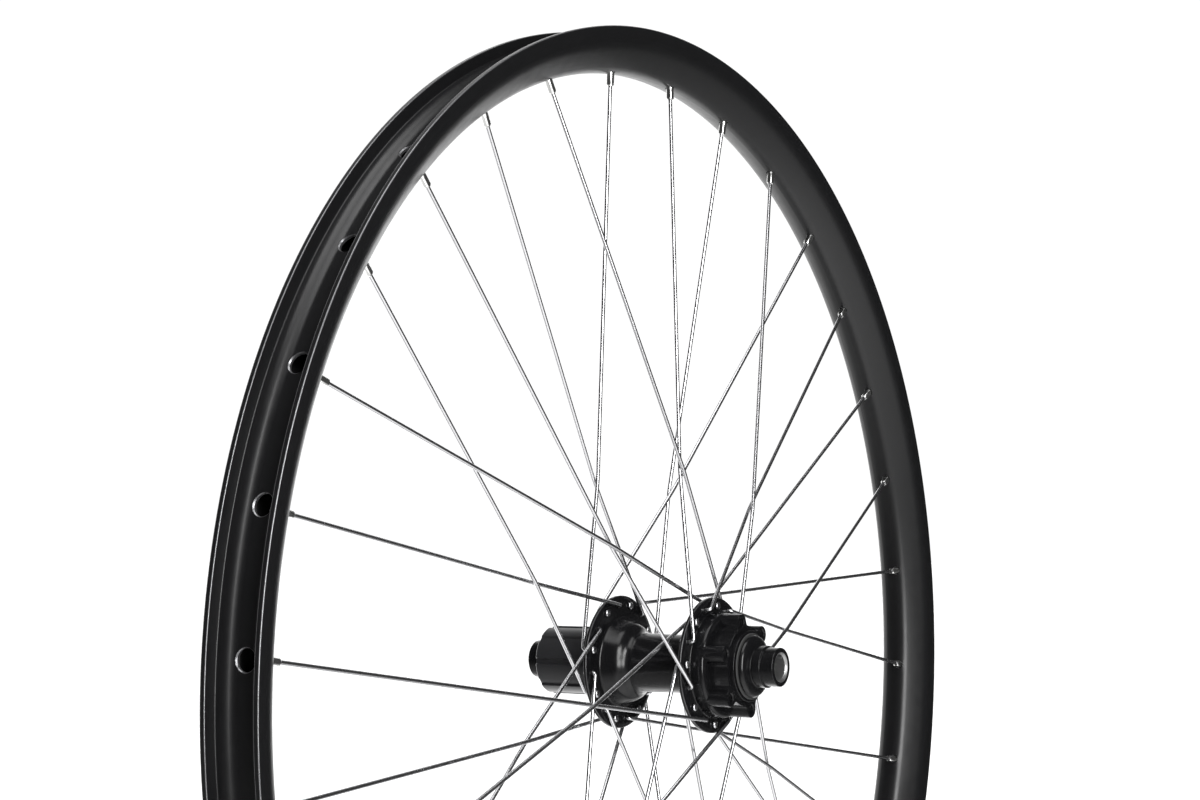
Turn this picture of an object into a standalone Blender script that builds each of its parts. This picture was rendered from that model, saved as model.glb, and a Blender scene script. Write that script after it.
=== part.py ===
"""Spoked rear bicycle wheel: rim, 32 crossed spokes, disc hub and ratchet freehub.

Units are metres. The origin is the wheel's centre. +Y is the axle's disc-brake end,
+X is the direction of travel and +Z is up. Angles run from +X towards +Z.
Run with: blender --background --python part.py
"""
import math

import bmesh
import bpy
from mathutils import Matrix, Vector

# ---- Driving dimensions -------------------------------------------------------------

# Rim: 622 mm bead seat, double wall
RIM_RADIUS = 0.3170          # flange tips
BEAD_SEAT_RADIUS = 0.3110
WELL_RADIUS = 0.3078         # bottom of the tyre channel
RIM_INNER_RADIUS = 0.2956    # hub-facing wall
RIM_HALF_WIDTH = 0.0148
FLANGE_THICKNESS = 0.0026
WELL_HALF_WIDTH = 0.0064
RIM_WALL = 0.0015
SPOKE_BED = 0.0026                   # thickness under the nipple heads
DISC_SIDEWALL = ((0.0024, 0.2956), (0.0088, 0.3019), (0.0130, 0.3068), (0.0148, 0.3112))
DRIVE_SIDEWALL = ((-0.0148, 0.3062), (-0.0118, 0.2990), (-0.0052, 0.2956))
DISC_HOLLOW = ((0.0122, 0.3089), (0.0078, 0.3030), (0.0034, 0.2983))
DRIVE_HOLLOW = ((-0.0048, 0.2983), (-0.0105, 0.3006), (-0.0133, 0.3066), (-0.0132, 0.3088))
RIM_STEPS = 64               # facets round the rim, two to each spoke
ACCESS_HOLE_RADIUS = 0.0047
NIPPLE_HOLE_RADIUS = 0.0027
VALVE_HOLE_RADIUS = 0.00325
VALVE_POSITION = 24.5        # in spoke pitches from the first spoke

# Spokes and nipples
SPOKE_COUNT = 32
SPOKE_PITCH = 2 * math.pi / SPOKE_COUNT
FIRST_SPOKE = math.radians(3.0)
SPOKE_RADIUS = 0.0010
SPOKE_SWEEP = math.radians(67.5)     # hub hole's angle from its rim hole, three-cross
SPOKE_CROSS_GAP = 0.00235            # between centre lines at the last, woven cross
ELBOW_RADIUS = 0.0016
ELBOW_STANDOFF_OUT = 0.0028          # centre line above the flange's outboard face
ELBOW_STANDOFF_IN = 0.0019           # and above its inboard face
HEAD_RADIUS = 0.0019
HEAD_HEIGHT = 0.0013
NIPPLE_RADIUS = 0.00195
NIPPLE_HEAD_RADIUS = 0.0029
NIPPLE_HEAD_HEIGHT = 0.0030
NIPPLE_LENGTH = 0.0095               # below its head
NIPPLE_SEAT_GAP = 0.0006             # its head above the rim wall

# Hub shell, positions along the axle
OVER_LOCKNUTS = 0.1420
DISC_FLANGE = (0.0315, 0.0345)       # inboard and outboard faces
DRIVE_FLANGE = (-0.0195, -0.0225)
FLANGE_RADIUS = 0.0335
FLANGE_TAPER = (0.0007, 0.0022)      # of the rim of a flange: along the axle, and outwards
SPOKE_HOLE_CIRCLE = 0.0290
SPOKE_HOLE_RADIUS = 0.0015
BARREL_RADIUS = 0.0148
BARREL_BORE = 0.0122
BARREL_FLARE = (0.0030, 0.0195)      # at the disc flange: its length and its end's radius
BELL = ((-0.0060, 0.0148), (-0.0085, 0.0160), (-0.0112, 0.0190), (-0.0150, 0.0206))
BELL_FOOT_RADIUS = 0.0226            # where the bell meets the drive flange
SKIRT_RADIUS = 0.0208                # outboard of the drive flange
HUB_STEPS = 24
ROTOR_FACE = 0.0522
ROTOR_BOLT_CIRCLE = 0.0220
ROTOR_BOLT_RADIUS = 0.0021
ROTOR_BOLT_DEPTH = 0.0080
ROTOR_BORE = 0.0159
ROTOR_LUGS = 6
ROTOR_LUG_ANGLE = math.radians(17.5)
LUG_HALF_WIDTH = 0.0044
WEB_RADIUS = 0.0198
SPIGOT_RADIUS = 0.0174
SPIGOT_END = 0.0542
DRUM_RADIUS = 0.0258
DRUM_END = 0.0420
DRUM_CHAMFER = 0.0024
HUB_DRIVE_END = -0.0250
POCKET_BOTTOM = -0.0163              # seat of the ratchet ring

# Axle, spacers and end caps
CLEAR = 0.0003                       # between neighbouring pieces
AXLE_RADIUS = 0.0075
AXLE_BORE = 0.0061
AXLE_END = 0.0617
AXLE_SHOULDER = 0.0089
SPACER_RADIUS = 0.0091
CAP_RADIUS = 0.0095                  # the spigot that the dropout locates
CAP_CHAMFER = 0.0004
CAP_SLEEVE_RADIUS = 0.0096           # inboard, up to the bearing
CAP_MOUTH = (0.0010, 0.0011)         # countersink: along the axle, and outwards
COLLAR = (0.0598, 0.0642, 0.0103)    # on the disc cap: inboard end, outboard end, radius
DOME = ((0.0586, 0.0120), (0.0576, 0.0143), (0.0560, 0.0152), (0.0556, 0.0150))
DRIVE_SHIELD = ((-0.0576, 0.0146), (-0.0590, 0.0146), (-0.0602, 0.0110))

# Seals
COVER_THICKNESS = 0.0007             # the disc end's dust cover
COVER_RADII = (0.0162, 0.0100)
SEAL_FACES = (-0.0253, -0.0259)      # between shell and freehub
SEAL_RADII = (0.0200, 0.0152)

# Bearings: (centre, half width, outer radius)
SEAT_CLEARANCE = 0.00035
BEARINGS = {
    "hub_disc": (0.0504, 0.0035, 0.0140),
    "hub_drive": (-0.0126, 0.0035, 0.0140),
    "freehub_inner": (-0.0310, 0.0025, 0.0120),
    "freehub_outer": (-0.0511, 0.0035, 0.0140),
}
RACE_SHARE = 0.21                    # of the gap from bore to outer diameter
BALL_COUNT = 11
BALL_WAIST = 0.55                    # thickness between two balls, as a share of a ball
BALL_CLEARANCE = 0.00025
RING_STEPS = 16

# Freehub body and ratchet
FREEHUB_END = -0.0613
SPLINE_START = -0.0276
SPLINE_RADIUS = 0.0173
SPLINE_DEPTH = 0.0011
SPLINE_GROOVE = 0.0042
SPLINE_COUNT = 9
NARROW_SPLINE = 0.7                  # width of the one narrow groove, as a share
SHOULDER_RADIUS = 0.0188             # the step behind the largest cog
SNOUT_START = -0.0262
SNOUT_END = -0.0169
SNOUT_RADIUS = 0.0148
SNOUT_BORE = 0.0098
LOCKRING_BORE = 0.01535
RATCHET_TEETH = 24
RATCHET_TIP = 0.0152
RATCHET_ROOT = 0.0166
RATCHET_RADIUS = 0.0180
RATCHET_END = -0.0247
RATCHET_BACK = 0.3                   # share of a tooth's pitch at full depth
RATCHET_LAG = math.radians(2.5)      # of its tooth faces behind a raised pawl's tip
PAWL_COUNT = 3
PAWL_PIVOT_RADIUS = 0.0129
PAWL_SPAN = math.radians(29.0)       # pivot's angle from the tip
PAWL_FACES = (-0.0177, -0.0233)
PAWL_HEEL = 0.0017
PAWL_TIP_RADIUS = 0.0163
PAWL_ANGLE = math.radians(75.0)      # first pawl's tooth face
PAWL_FOLD = math.radians(12.0)       # from its tooth to clear of the teeth
PAWL_POCKET_FLOOR = 0.0116
SPRING_PLACE = -0.0205
SPRING_WIRE = 0.0004
SPRING_RADIUS = 0.0139
SPRING_OPENING = math.radians(20.0)
SPRING_GROOVE = (0.0008, 0.0131, 0.0170)   # half width, floor and top

AXIS = Vector((0.0, 1.0, 0.0))

# Colour, metallic and roughness of each finish
FINISHES = {
    "satin_black": ((0.012, 0.012, 0.013, 1), 0.6, 0.42),
    "gloss_black": ((0.010, 0.010, 0.011, 1), 0.5, 0.18),
    "grey_black": ((0.030, 0.030, 0.032, 1), 0.7, 0.38),
    "bright_steel": ((0.72, 0.73, 0.74, 1), 1.0, 0.22),
    "ground_steel": ((0.50, 0.50, 0.51, 1), 1.0, 0.30),
    "black_rubber": ((0.015, 0.015, 0.015, 1), 0.0, 0.70),
    "plain_aluminium": ((0.60, 0.61, 0.62, 1), 1.0, 0.32),
}


# ---- Modelling tools ----------------------------------------------------------------

def clear_scene():
    """Remove every object and leave one collection for parts and one for cutters."""
    for obj in list(bpy.data.objects):
        bpy.data.objects.remove(obj, do_unlink=True)
    made = []
    for name in ("spoked_wheel", "cutters"):
        collection = bpy.data.collections.new(name)
        bpy.context.scene.collection.children.link(collection)
        made.append(collection)
    return made


PARTS, CUTTERS = clear_scene()


def material(finish):
    """The named finish as a Principled material, made once."""
    found = bpy.data.materials.get(finish)
    if found:
        return found
    colour, metallic, roughness = FINISHES[finish]
    made = bpy.data.materials.new(finish)
    made.use_nodes = True
    shader = made.node_tree.nodes["Principled BSDF"]
    shader.inputs["Base Color"].default_value = colour
    shader.inputs["Metallic"].default_value = metallic
    shader.inputs["Roughness"].default_value = roughness
    made.diffuse_color = colour
    return made


def add_object(name, data, finish=None, parent=None):
    """Link new data as a part, or as a hidden cutter where it has no finish."""
    obj = bpy.data.objects.new(name, data)
    if finish:
        PARTS.objects.link(obj)
        data.materials.append(material(finish))
    else:
        CUTTERS.objects.link(obj)
        obj.hide_render = True
        obj.display_type = "WIRE"
    obj.parent = parent
    return obj


def axis_empty(name):
    """An empty at the wheel's centre, on the axle's line."""
    empty = bpy.data.objects.new(name, None)
    PARTS.objects.link(empty)
    return empty


def polar(radius, angle, y):
    """A point at a radius and angle about the axle."""
    return Vector((radius * math.cos(angle), y, radius * math.sin(angle)))


def turned(name, loops, finish=None, parent=None, steps=HUB_STEPS, start=0.0):
    """A body turned about the axle from closed loops of (y, radius) points.

    An outer loop runs from +Y to -Y on its outer side, and a hollow's loop the other way.
    """
    mesh = bpy.data.meshes.new(name)
    points = []
    edges = []
    for loop in loops:
        first = len(points)
        for i, (y, radius) in enumerate(loop):
            points.append((radius * math.cos(start), -radius * math.sin(start), y))
            edges.append((first + i, first + (i + 1) % len(loop)))
    mesh.from_pydata(points, edges, [])
    obj = add_object(name, mesh, finish, parent)
    obj.rotation_euler.x = -math.pi / 2
    screw = obj.modifiers.new("Turn", "SCREW")
    screw.axis = "Z"
    screw.steps = steps
    screw.render_steps = steps
    screw.use_merge_vertices = True
    screw.merge_threshold = 0.00001
    screw.use_smooth_shade = True
    return obj


def ring(name, y_high, y_low, outer, inner, finish, parent, steps=RING_STEPS):
    """A plain ring with a rectangular section."""
    loop = [(y_high, outer), (y_low, outer), (y_low, inner), (y_high, inner)]
    return turned(name, [loop], finish, parent, steps)


def plate(name, outlines, y_high, y_low, finish=None, parent=None, pivot=(0, 0)):
    """Flat outlines of (x, z) points, extruded along the axle and made a welded mesh."""
    curve = bpy.data.curves.new(name, "CURVE")
    curve.dimensions = "2D"
    curve.fill_mode = "BOTH"
    curve.extrude = abs(y_high - y_low) / 2
    for outline in outlines:
        spline = curve.splines.new("POLY")
        spline.points.add(len(outline) - 1)
        for point, (x, z) in zip(spline.points, outline):
            point.co = (x, -z, 0, 1)
        spline.use_cyclic_u = True
    shape = bpy.data.objects.new(name + "_outline", curve)
    CUTTERS.objects.link(shape)
    depsgraph = bpy.context.evaluated_depsgraph_get()
    mesh = bpy.data.meshes.new_from_object(shape.evaluated_get(depsgraph))
    bpy.data.objects.remove(shape, do_unlink=True)
    weld = bmesh.new()
    weld.from_mesh(mesh)
    bmesh.ops.remove_doubles(weld, verts=weld.verts, dist=0.000001)
    bmesh.ops.recalc_face_normals(weld, faces=weld.faces)
    weld.to_mesh(mesh)
    weld.free()
    mesh.name = name
    obj = add_object(name, mesh, finish, parent)
    obj.rotation_euler.x = -math.pi / 2
    obj.location = (pivot[0], (y_high + y_low) / 2, pivot[1])
    return obj


def drills(name, bores):
    """One cutter of many straight bores: (start, end, radius, sides)."""
    mesh = bpy.data.meshes.new(name)
    shape = bmesh.new()
    for start, end, radius, sides in bores:
        run = end - start
        turn = run.to_track_quat("Z", "Y").to_matrix().to_4x4()
        place = Matrix.Translation((start + end) / 2) @ turn
        bmesh.ops.create_cone(
            shape, cap_ends=True, segments=sides, radius1=radius, radius2=radius,
            depth=run.length, matrix=place)
    shape.to_mesh(mesh)
    shape.free()
    return add_object(name, mesh)


def boolean(obj, cutter, operation="DIFFERENCE"):
    """Cut an object by a hidden cutter, or join the two."""
    modifier = obj.modifiers.new(operation.title(), "BOOLEAN")
    modifier.operation = operation
    modifier.solver = "EXACT"
    modifier.object = cutter


def wire(name, points, radius, finish, parent, resolution=1, cyclic=False):
    """A round wire through (position, thickness factor) points."""
    curve = bpy.data.curves.new(name, "CURVE")
    curve.dimensions = "3D"
    curve.bevel_depth = radius
    curve.bevel_resolution = resolution
    curve.use_fill_caps = not cyclic
    spline = curve.splines.new("POLY")
    spline.points.add(len(points) - 1)
    for point, (place, factor) in zip(spline.points, points):
        point.co = (*place, 1)
        point.radius = factor
    spline.use_cyclic_u = cyclic
    return add_object(name, curve, finish, parent)


# ---- Rim ----------------------------------------------------------------------------

def mirrored(half):
    """Both halves of a symmetrical stretch of a section, from its +Y half."""
    return half + [(-y, radius) for y, radius in reversed(half)]


def rim(parent):
    """A double-wall rim with a tyre channel and a hollow, drilled for its nipples."""
    tip = RIM_HALF_WIDTH - FLANGE_THICKNESS
    channel = mirrored([
        (RIM_HALF_WIDTH, RIM_RADIUS),
        (tip, RIM_RADIUS),
        (tip, BEAD_SEAT_RADIUS),
        (WELL_HALF_WIDTH, WELL_RADIUS),
    ])
    ceiling = (WELL_HALF_WIDTH - 0.0004, WELL_RADIUS - RIM_WALL)
    outside = [*DISC_SIDEWALL, *channel, *DRIVE_SIDEWALL]
    hollow = [ceiling, *DISC_HOLLOW, *DRIVE_HOLLOW, (-ceiling[0], ceiling[1])]
    obj = turned(
        "rim", [outside, hollow], "satin_black", parent,
        RIM_STEPS, FIRST_SPOKE + SPOKE_PITCH / 4)
    bores = []
    for k in range(SPOKE_COUNT):
        angle = FIRST_SPOKE + k * SPOKE_PITCH
        middle = RIM_INNER_RADIUS + 0.0065
        bores.append((polar(middle, angle, 0), polar(RIM_RADIUS, angle, 0),
                      ACCESS_HOLE_RADIUS, 6))
        bores.append((polar(RIM_INNER_RADIUS - 0.004, angle, 0), polar(middle - 0.001, angle, 0),
                      NIPPLE_HOLE_RADIUS, 6))
    angle = FIRST_SPOKE + VALVE_POSITION * SPOKE_PITCH
    bores.append((polar(RIM_INNER_RADIUS - 0.004, angle, 0), polar(RIM_RADIUS, angle, 0),
                  VALVE_HOLE_RADIUS, 8))
    boolean(obj, drills("rim_drillings", bores))
    return obj


# ---- Spokes -------------------------------------------------------------------------

def spoke_layout(k):
    """Flange faces, outward side, sweep and elbow side of spoke k."""
    faces, outward = (DISC_FLANGE, 1) if k % 2 == 0 else (DRIVE_FLANGE, -1)
    elbow_outboard = k % 4 in (0, 3)
    sweep = -SPOKE_SWEEP if elbow_outboard else SPOKE_SWEEP
    return faces, outward, sweep, elbow_outboard


def cross_y(faces, outward, share, elbow_outboard):
    """Where the spoke lies along the axle at its woven cross, a share of the way in."""
    elbows = (faces[0] - outward * ELBOW_STANDOFF_IN, faces[1] + outward * ELBOW_STANDOFF_OUT)
    middle = share * (elbows[0] + elbows[1]) / 2
    side = -outward if elbow_outboard else outward
    return middle + side * SPOKE_CROSS_GAP / 2


def bend(corner, arrive, leave, radius, steps=2):
    """Points round a bend between two directions that point away from its corner."""
    half = arrive.angle(leave) / 2
    back = radius / math.tan(half)
    centre = corner + (arrive + leave).normalized() * radius / math.sin(half)
    first = corner + arrive * back - centre
    sweep = math.pi - 2 * half
    axis = first.cross(corner + leave * back - centre).normalized()
    turns = [Matrix.Rotation(sweep * i / steps, 3, axis) for i in range(steps + 1)]
    return [centre + turn @ first for turn in turns]


def spoke(k, parent):
    """One J-bend spoke with its nipple, from inside the rim to its head at the flange."""
    faces, outward, sweep, elbow_outboard = spoke_layout(k)
    angle = FIRST_SPOKE + k * SPOKE_PITCH
    turn = math.copysign(SPOKE_PITCH, sweep)
    near = RIM_INNER_RADIUS * math.sin(SPOKE_PITCH)
    far = SPOKE_HOLE_CIRCLE * math.sin(SPOKE_SWEEP - SPOKE_PITCH)
    share = near / (near + far)
    if elbow_outboard:
        elbow_y = faces[1] + outward * ELBOW_STANDOFF_OUT
        head_y = faces[0] - outward * CLEAR
    else:
        elbow_y = faces[0] - outward * ELBOW_STANDOFF_IN
        head_y = faces[1] + outward * CLEAR
    seat = polar(RIM_INNER_RADIUS + SPOKE_BED / 2, angle, 0)
    corner = polar(SPOKE_HOLE_CIRCLE, angle + sweep, elbow_y)
    cross = seat.lerp(corner, share)
    cross.y = cross_y(faces, outward, share, elbow_outboard)
    along = (cross - seat).normalized()
    through = AXIS * math.copysign(1, head_y - elbow_y)
    head = Vector((corner.x, head_y, corner.z))
    seat_top = seat - along * (SPOKE_BED / 2 + NIPPLE_SEAT_GAP)
    points = [
        (seat_top - along * NIPPLE_HEAD_HEIGHT, NIPPLE_HEAD_RADIUS / SPOKE_RADIUS),
        (seat_top, NIPPLE_RADIUS / SPOKE_RADIUS),
        (seat_top + along * NIPPLE_LENGTH, NIPPLE_RADIUS / SPOKE_RADIUS),
        (seat_top + along * (NIPPLE_LENGTH + 0.0004), 1),
        (cross, 1),
    ]
    for place in bend(corner, (cross - corner).normalized(), through, ELBOW_RADIUS):
        points.append((place, 1))
    points.append((head, 1))
    points.append((head + through * HEAD_HEIGHT, HEAD_RADIUS / SPOKE_RADIUS))
    return wire("spoke_%02d" % (k + 1), points, SPOKE_RADIUS, "bright_steel", parent)


# ---- Hub ----------------------------------------------------------------------------

def hub_section():
    """Half section of the hub shell, outside from the disc end, then back through the bore."""
    seat = BEARINGS["hub_disc"][2] + SEAT_CLEARANCE
    disc_shoulder = BEARINGS["hub_disc"][0] - BEARINGS["hub_disc"][1] - CLEAR
    drive_shoulder = BEARINGS["hub_drive"][0] + BEARINGS["hub_drive"][1] + CLEAR
    disc_in, disc_out = DISC_FLANGE
    drive_in, drive_out = DRIVE_FLANGE
    edge, rise = FLANGE_TAPER
    flare, flare_radius = BARREL_FLARE
    outside = [
        (SPIGOT_END, SPIGOT_RADIUS),
        (DRUM_END, SPIGOT_RADIUS),
        (DRUM_END, DRUM_RADIUS - DRUM_CHAMFER),
        (DRUM_END - DRUM_CHAMFER, DRUM_RADIUS),
        (disc_out, DRUM_RADIUS),
        (disc_out, FLANGE_RADIUS - rise),
        (disc_out - edge, FLANGE_RADIUS),
        (disc_in + edge, FLANGE_RADIUS),
        (disc_in, FLANGE_RADIUS - rise),
        (disc_in, flare_radius),
        (disc_in - flare, BARREL_RADIUS),
        *BELL,
        (drive_in, BELL_FOOT_RADIUS),
        (drive_in, FLANGE_RADIUS - rise),
        (drive_in - edge, FLANGE_RADIUS),
        (drive_out + edge, FLANGE_RADIUS),
        (drive_out, FLANGE_RADIUS - rise),
        (drive_out, SKIRT_RADIUS),
        (HUB_DRIVE_END, SKIRT_RADIUS),
    ]
    pocket = RATCHET_RADIUS + CLEAR
    inside = [
        (HUB_DRIVE_END, pocket),
        (POCKET_BOTTOM, pocket),
        (POCKET_BOTTOM, seat),
        (drive_shoulder, seat),
        (drive_shoulder, BARREL_BORE),
        (disc_shoulder, BARREL_BORE),
        (disc_shoulder, seat),
        (SPIGOT_END, seat),
    ]
    return outside + inside


def rotor_outline():
    """The six-lobed outline of the rotor mount."""
    points = []
    root = math.asin(LUG_HALF_WIDTH / WEB_RADIUS)
    for lug in range(ROTOR_LUGS):
        middle = ROTOR_LUG_ANGLE + lug * 2 * math.pi / ROTOR_LUGS
        side = Vector((-math.sin(middle), math.cos(middle)))
        out = Vector((math.cos(middle), math.sin(middle)))
        points.append(WEB_RADIUS * Vector((math.cos(middle - root), math.sin(middle - root))))
        for i in range(5):
            tip = math.radians(-90 + 45 * i)
            centre = out * (ROTOR_BOLT_CIRCLE - 0.0003)
            points.append(centre + LUG_HALF_WIDTH * (out * math.cos(tip) + side * math.sin(tip)))
        points.append(WEB_RADIUS * Vector((math.cos(middle + root), math.sin(middle + root))))
        half = middle + math.pi / ROTOR_LUGS
        points.append(WEB_RADIUS * Vector((math.cos(half), math.sin(half))))
    return points


def circle(radius, sides):
    """A circular outline."""
    turns = [2 * math.pi * i / sides for i in range(sides)]
    return [Vector((radius * math.cos(turn), radius * math.sin(turn))) for turn in turns]


def hub_shell(parent):
    """The shell: two spoke flanges, waisted barrel, bell and lobed rotor mount."""
    obj = turned("hub_shell", [hub_section()], "gloss_black", parent)
    mount = plate(
        "rotor_mount", [rotor_outline(), circle(ROTOR_BORE, HUB_STEPS)],
        ROTOR_FACE, DRUM_END - 0.0015)
    boolean(obj, mount, "UNION")
    bores = []
    for k in range(SPOKE_COUNT):
        faces, outward, sweep, elbow_outboard = spoke_layout(k)
        angle = FIRST_SPOKE + k * SPOKE_PITCH + sweep
        bores.append((polar(SPOKE_HOLE_CIRCLE, angle, faces[0] - outward * 0.002),
                      polar(SPOKE_HOLE_CIRCLE, angle, faces[1] + outward * 0.002),
                      SPOKE_HOLE_RADIUS, 6))
    for lug in range(ROTOR_LUGS):
        angle = ROTOR_LUG_ANGLE + lug * 2 * math.pi / ROTOR_LUGS
        bores.append((polar(ROTOR_BOLT_CIRCLE, angle, ROTOR_FACE - ROTOR_BOLT_DEPTH),
                      polar(ROTOR_BOLT_CIRCLE, angle, ROTOR_FACE + 0.002),
                      ROTOR_BOLT_RADIUS, 8))
    boolean(obj, drills("hub_drillings", bores))
    return obj


def axle():
    """The hollow axle, with a shoulder between the two hub bearings."""
    high = BEARINGS["hub_disc"][0] - BEARINGS["hub_disc"][1] - CLEAR
    low = BEARINGS["hub_drive"][0] + BEARINGS["hub_drive"][1] + CLEAR
    loop = [
        (AXLE_END, AXLE_RADIUS), (high, AXLE_RADIUS), (high, AXLE_SHOULDER), (low, AXLE_SHOULDER),
        (low, AXLE_RADIUS), (-AXLE_END, AXLE_RADIUS), (-AXLE_END, AXLE_BORE),
        (AXLE_END, AXLE_BORE),
    ]
    return turned("axle", [loop], "plain_aluminium", steps=RING_STEPS)


def cap_bore(face, nose, side):
    """A cap's bore: its open socket for the axle, a shoulder and a countersunk mouth."""
    socket = AXLE_RADIUS + CLEAR
    shoulder = side * (AXLE_END + CLEAR)
    depth, flare = CAP_MOUTH
    return [
        (nose, socket), (shoulder, socket), (shoulder, AXLE_BORE),
        (face - side * depth, AXLE_BORE), (face, AXLE_BORE + flare),
    ]


def end_cap_disc():
    """The disc side's end cap: dropout spigot, collar and domed dust shield."""
    face = OVER_LOCKNUTS / 2
    nose = BEARINGS["hub_disc"][0] + BEARINGS["hub_disc"][1] + CLEAR
    collar_in, collar_out, collar_radius = COLLAR
    outside = [
        (face, CAP_RADIUS - CAP_CHAMFER), (face - CAP_CHAMFER, CAP_RADIUS),
        (collar_out, CAP_RADIUS), (collar_out, collar_radius), (collar_in, collar_radius),
        *DOME, (DOME[-1][0], CAP_SLEEVE_RADIUS), (nose, CAP_SLEEVE_RADIUS),
    ]
    return turned("end_cap_disc", [outside + cap_bore(face, nose, 1)], "gloss_black")


def end_cap_drive():
    """The drive side's end cap, whose sleeve reaches in to the freehub's outer bearing."""
    face = -OVER_LOCKNUTS / 2
    nose = BEARINGS["freehub_outer"][0] - BEARINGS["freehub_outer"][1] - CLEAR
    outside = [
        (nose, CAP_SLEEVE_RADIUS), (DRIVE_SHIELD[0][0], CAP_SLEEVE_RADIUS), *DRIVE_SHIELD,
        (FREEHUB_END + CLEAR / 3, CAP_RADIUS), (face + CAP_CHAMFER, CAP_RADIUS),
        (face, CAP_RADIUS - CAP_CHAMFER),
    ]
    inside = [(y, radius) for y, radius in reversed(cap_bore(face, nose, -1))]
    return turned("end_cap_drive", [outside + inside], "gloss_black")


def dust_cover_disc(parent):
    """The rubber dust cover on the disc end of the shell."""
    low = SPIGOT_END + CLEAR
    return ring("dust_cover_disc", low + COVER_THICKNESS, low, *COVER_RADII,
                "black_rubber", parent, HUB_STEPS)


# ---- Bearings -----------------------------------------------------------------------

def bearing(name, outer_parent, cage_parent):
    """A ball bearing as its outer race, inner race and ring of caged balls."""
    centre, half, radius = BEARINGS[name]
    bore = AXLE_RADIUS + CLEAR
    race = RACE_SHARE * (radius - bore)
    outer_track = radius - race
    inner_track = bore + race
    ring(name + "_outer_race", centre + half, centre - half, radius, outer_track,
         "ground_steel", outer_parent)
    ring(name + "_inner_race", centre + half, centre - half, inner_track, bore,
         "ground_steel", None)
    track = (outer_track * math.cos(math.pi / RING_STEPS) + inner_track) / 2
    ball = (outer_track * math.cos(math.pi / RING_STEPS) - inner_track) / 2 - BALL_CLEARANCE
    points = []
    for i in range(2 * BALL_COUNT):
        angle = math.pi * i / BALL_COUNT
        points.append((polar(track, angle, centre), 1.0 if i % 2 else BALL_WAIST))
    wire(name + "_balls", points, ball, "bright_steel", cage_parent, 0, True)


def spacer(name, first, second):
    """A tube on the axle between two bearings' inner races."""
    high = BEARINGS[first][0] - BEARINGS[first][1] - CLEAR
    low = BEARINGS[second][0] + BEARINGS[second][1] + CLEAR
    return ring(name, high, low, SPACER_RADIUS, AXLE_RADIUS + CLEAR, "plain_aluminium", None)


# ---- Freehub ------------------------------------------------------------------------

def pawl_outline():
    """A raised pawl's outline about its pivot, with its tooth face near angle 0."""
    pivot = PAWL_PIVOT_RADIUS * Vector((math.cos(PAWL_SPAN), math.sin(PAWL_SPAN)))
    arm = PAWL_SPAN + math.pi / 2
    points = []
    for i in range(7):
        turn = PAWL_SPAN + math.radians(-10 + 35 * i)
        points.append(PAWL_HEEL * Vector((math.cos(turn), math.sin(turn))))
    side = math.radians(1.0)
    tip_low = (PAWL_TIP_RADIUS - 0.0026) * Vector((math.cos(side), math.sin(side)))
    tip_high = PAWL_TIP_RADIUS * Vector((math.cos(side), math.sin(side)))
    points.append(tip_low - pivot)
    points.append(tip_high - pivot)
    back = Vector((math.cos(arm), math.sin(arm)))
    points.append(points[0] - back * 0.0010)
    return points


def turned_outline(points, angle):
    """An outline turned about the axle."""
    cosine = math.cos(angle)
    sine = math.sin(angle)
    return [Vector((cosine * x - sine * z, sine * x + cosine * z)) for x, z in points]


def pocket_outline():
    """The pawl's pocket, deep enough for the folded pawl and open at the snout's outside."""
    pivot = PAWL_PIVOT_RADIUS * Vector((math.cos(PAWL_SPAN), math.sin(PAWL_SPAN)))
    heel = PAWL_HEEL + CLEAR
    points = []
    for i in range(6):
        turn = PAWL_SPAN + math.radians(30 + 34 * i)
        points.append(pivot + heel * Vector((math.cos(turn), math.sin(turn))))
    top = SHOULDER_RADIUS
    for radius, degrees in ((PAWL_POCKET_FLOOR, 6.0), (PAWL_POCKET_FLOOR, -3.5),
                            (top, -3.5), (top, 32.0)):
        turn = math.radians(degrees)
        points.append(radius * Vector((math.cos(turn), math.sin(turn))))
    return points


def spline_grooves():
    """A cutter of the carrier's grooves, one of them narrow."""
    mesh = bpy.data.meshes.new("spline_grooves")
    shape = bmesh.new()
    height = 0.004
    start = SPLINE_START - CLEAR
    length = start - FREEHUB_END + 0.001
    middle = Matrix.Translation(
        (SPLINE_RADIUS - SPLINE_DEPTH + height / 2, start - length / 2, 0))
    for i in range(SPLINE_COUNT):
        turn = Matrix.Rotation(-2 * math.pi * i / SPLINE_COUNT, 4, "Y")
        width = SPLINE_GROOVE * (NARROW_SPLINE if i == 0 else 1.0)
        size = Matrix.Diagonal((height, length, width, 1))
        bmesh.ops.create_cube(shape, size=1, matrix=turn @ middle @ size)
    shape.to_mesh(mesh)
    shape.free()
    return add_object("spline_grooves", mesh)


def spring_groove(name, top):
    """A cutter for the ring spring's groove."""
    half, floor = SPRING_GROOVE[:2]
    return ring(name, SPRING_PLACE + half, SPRING_PLACE - half, top, floor, None, None, HUB_STEPS)


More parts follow.
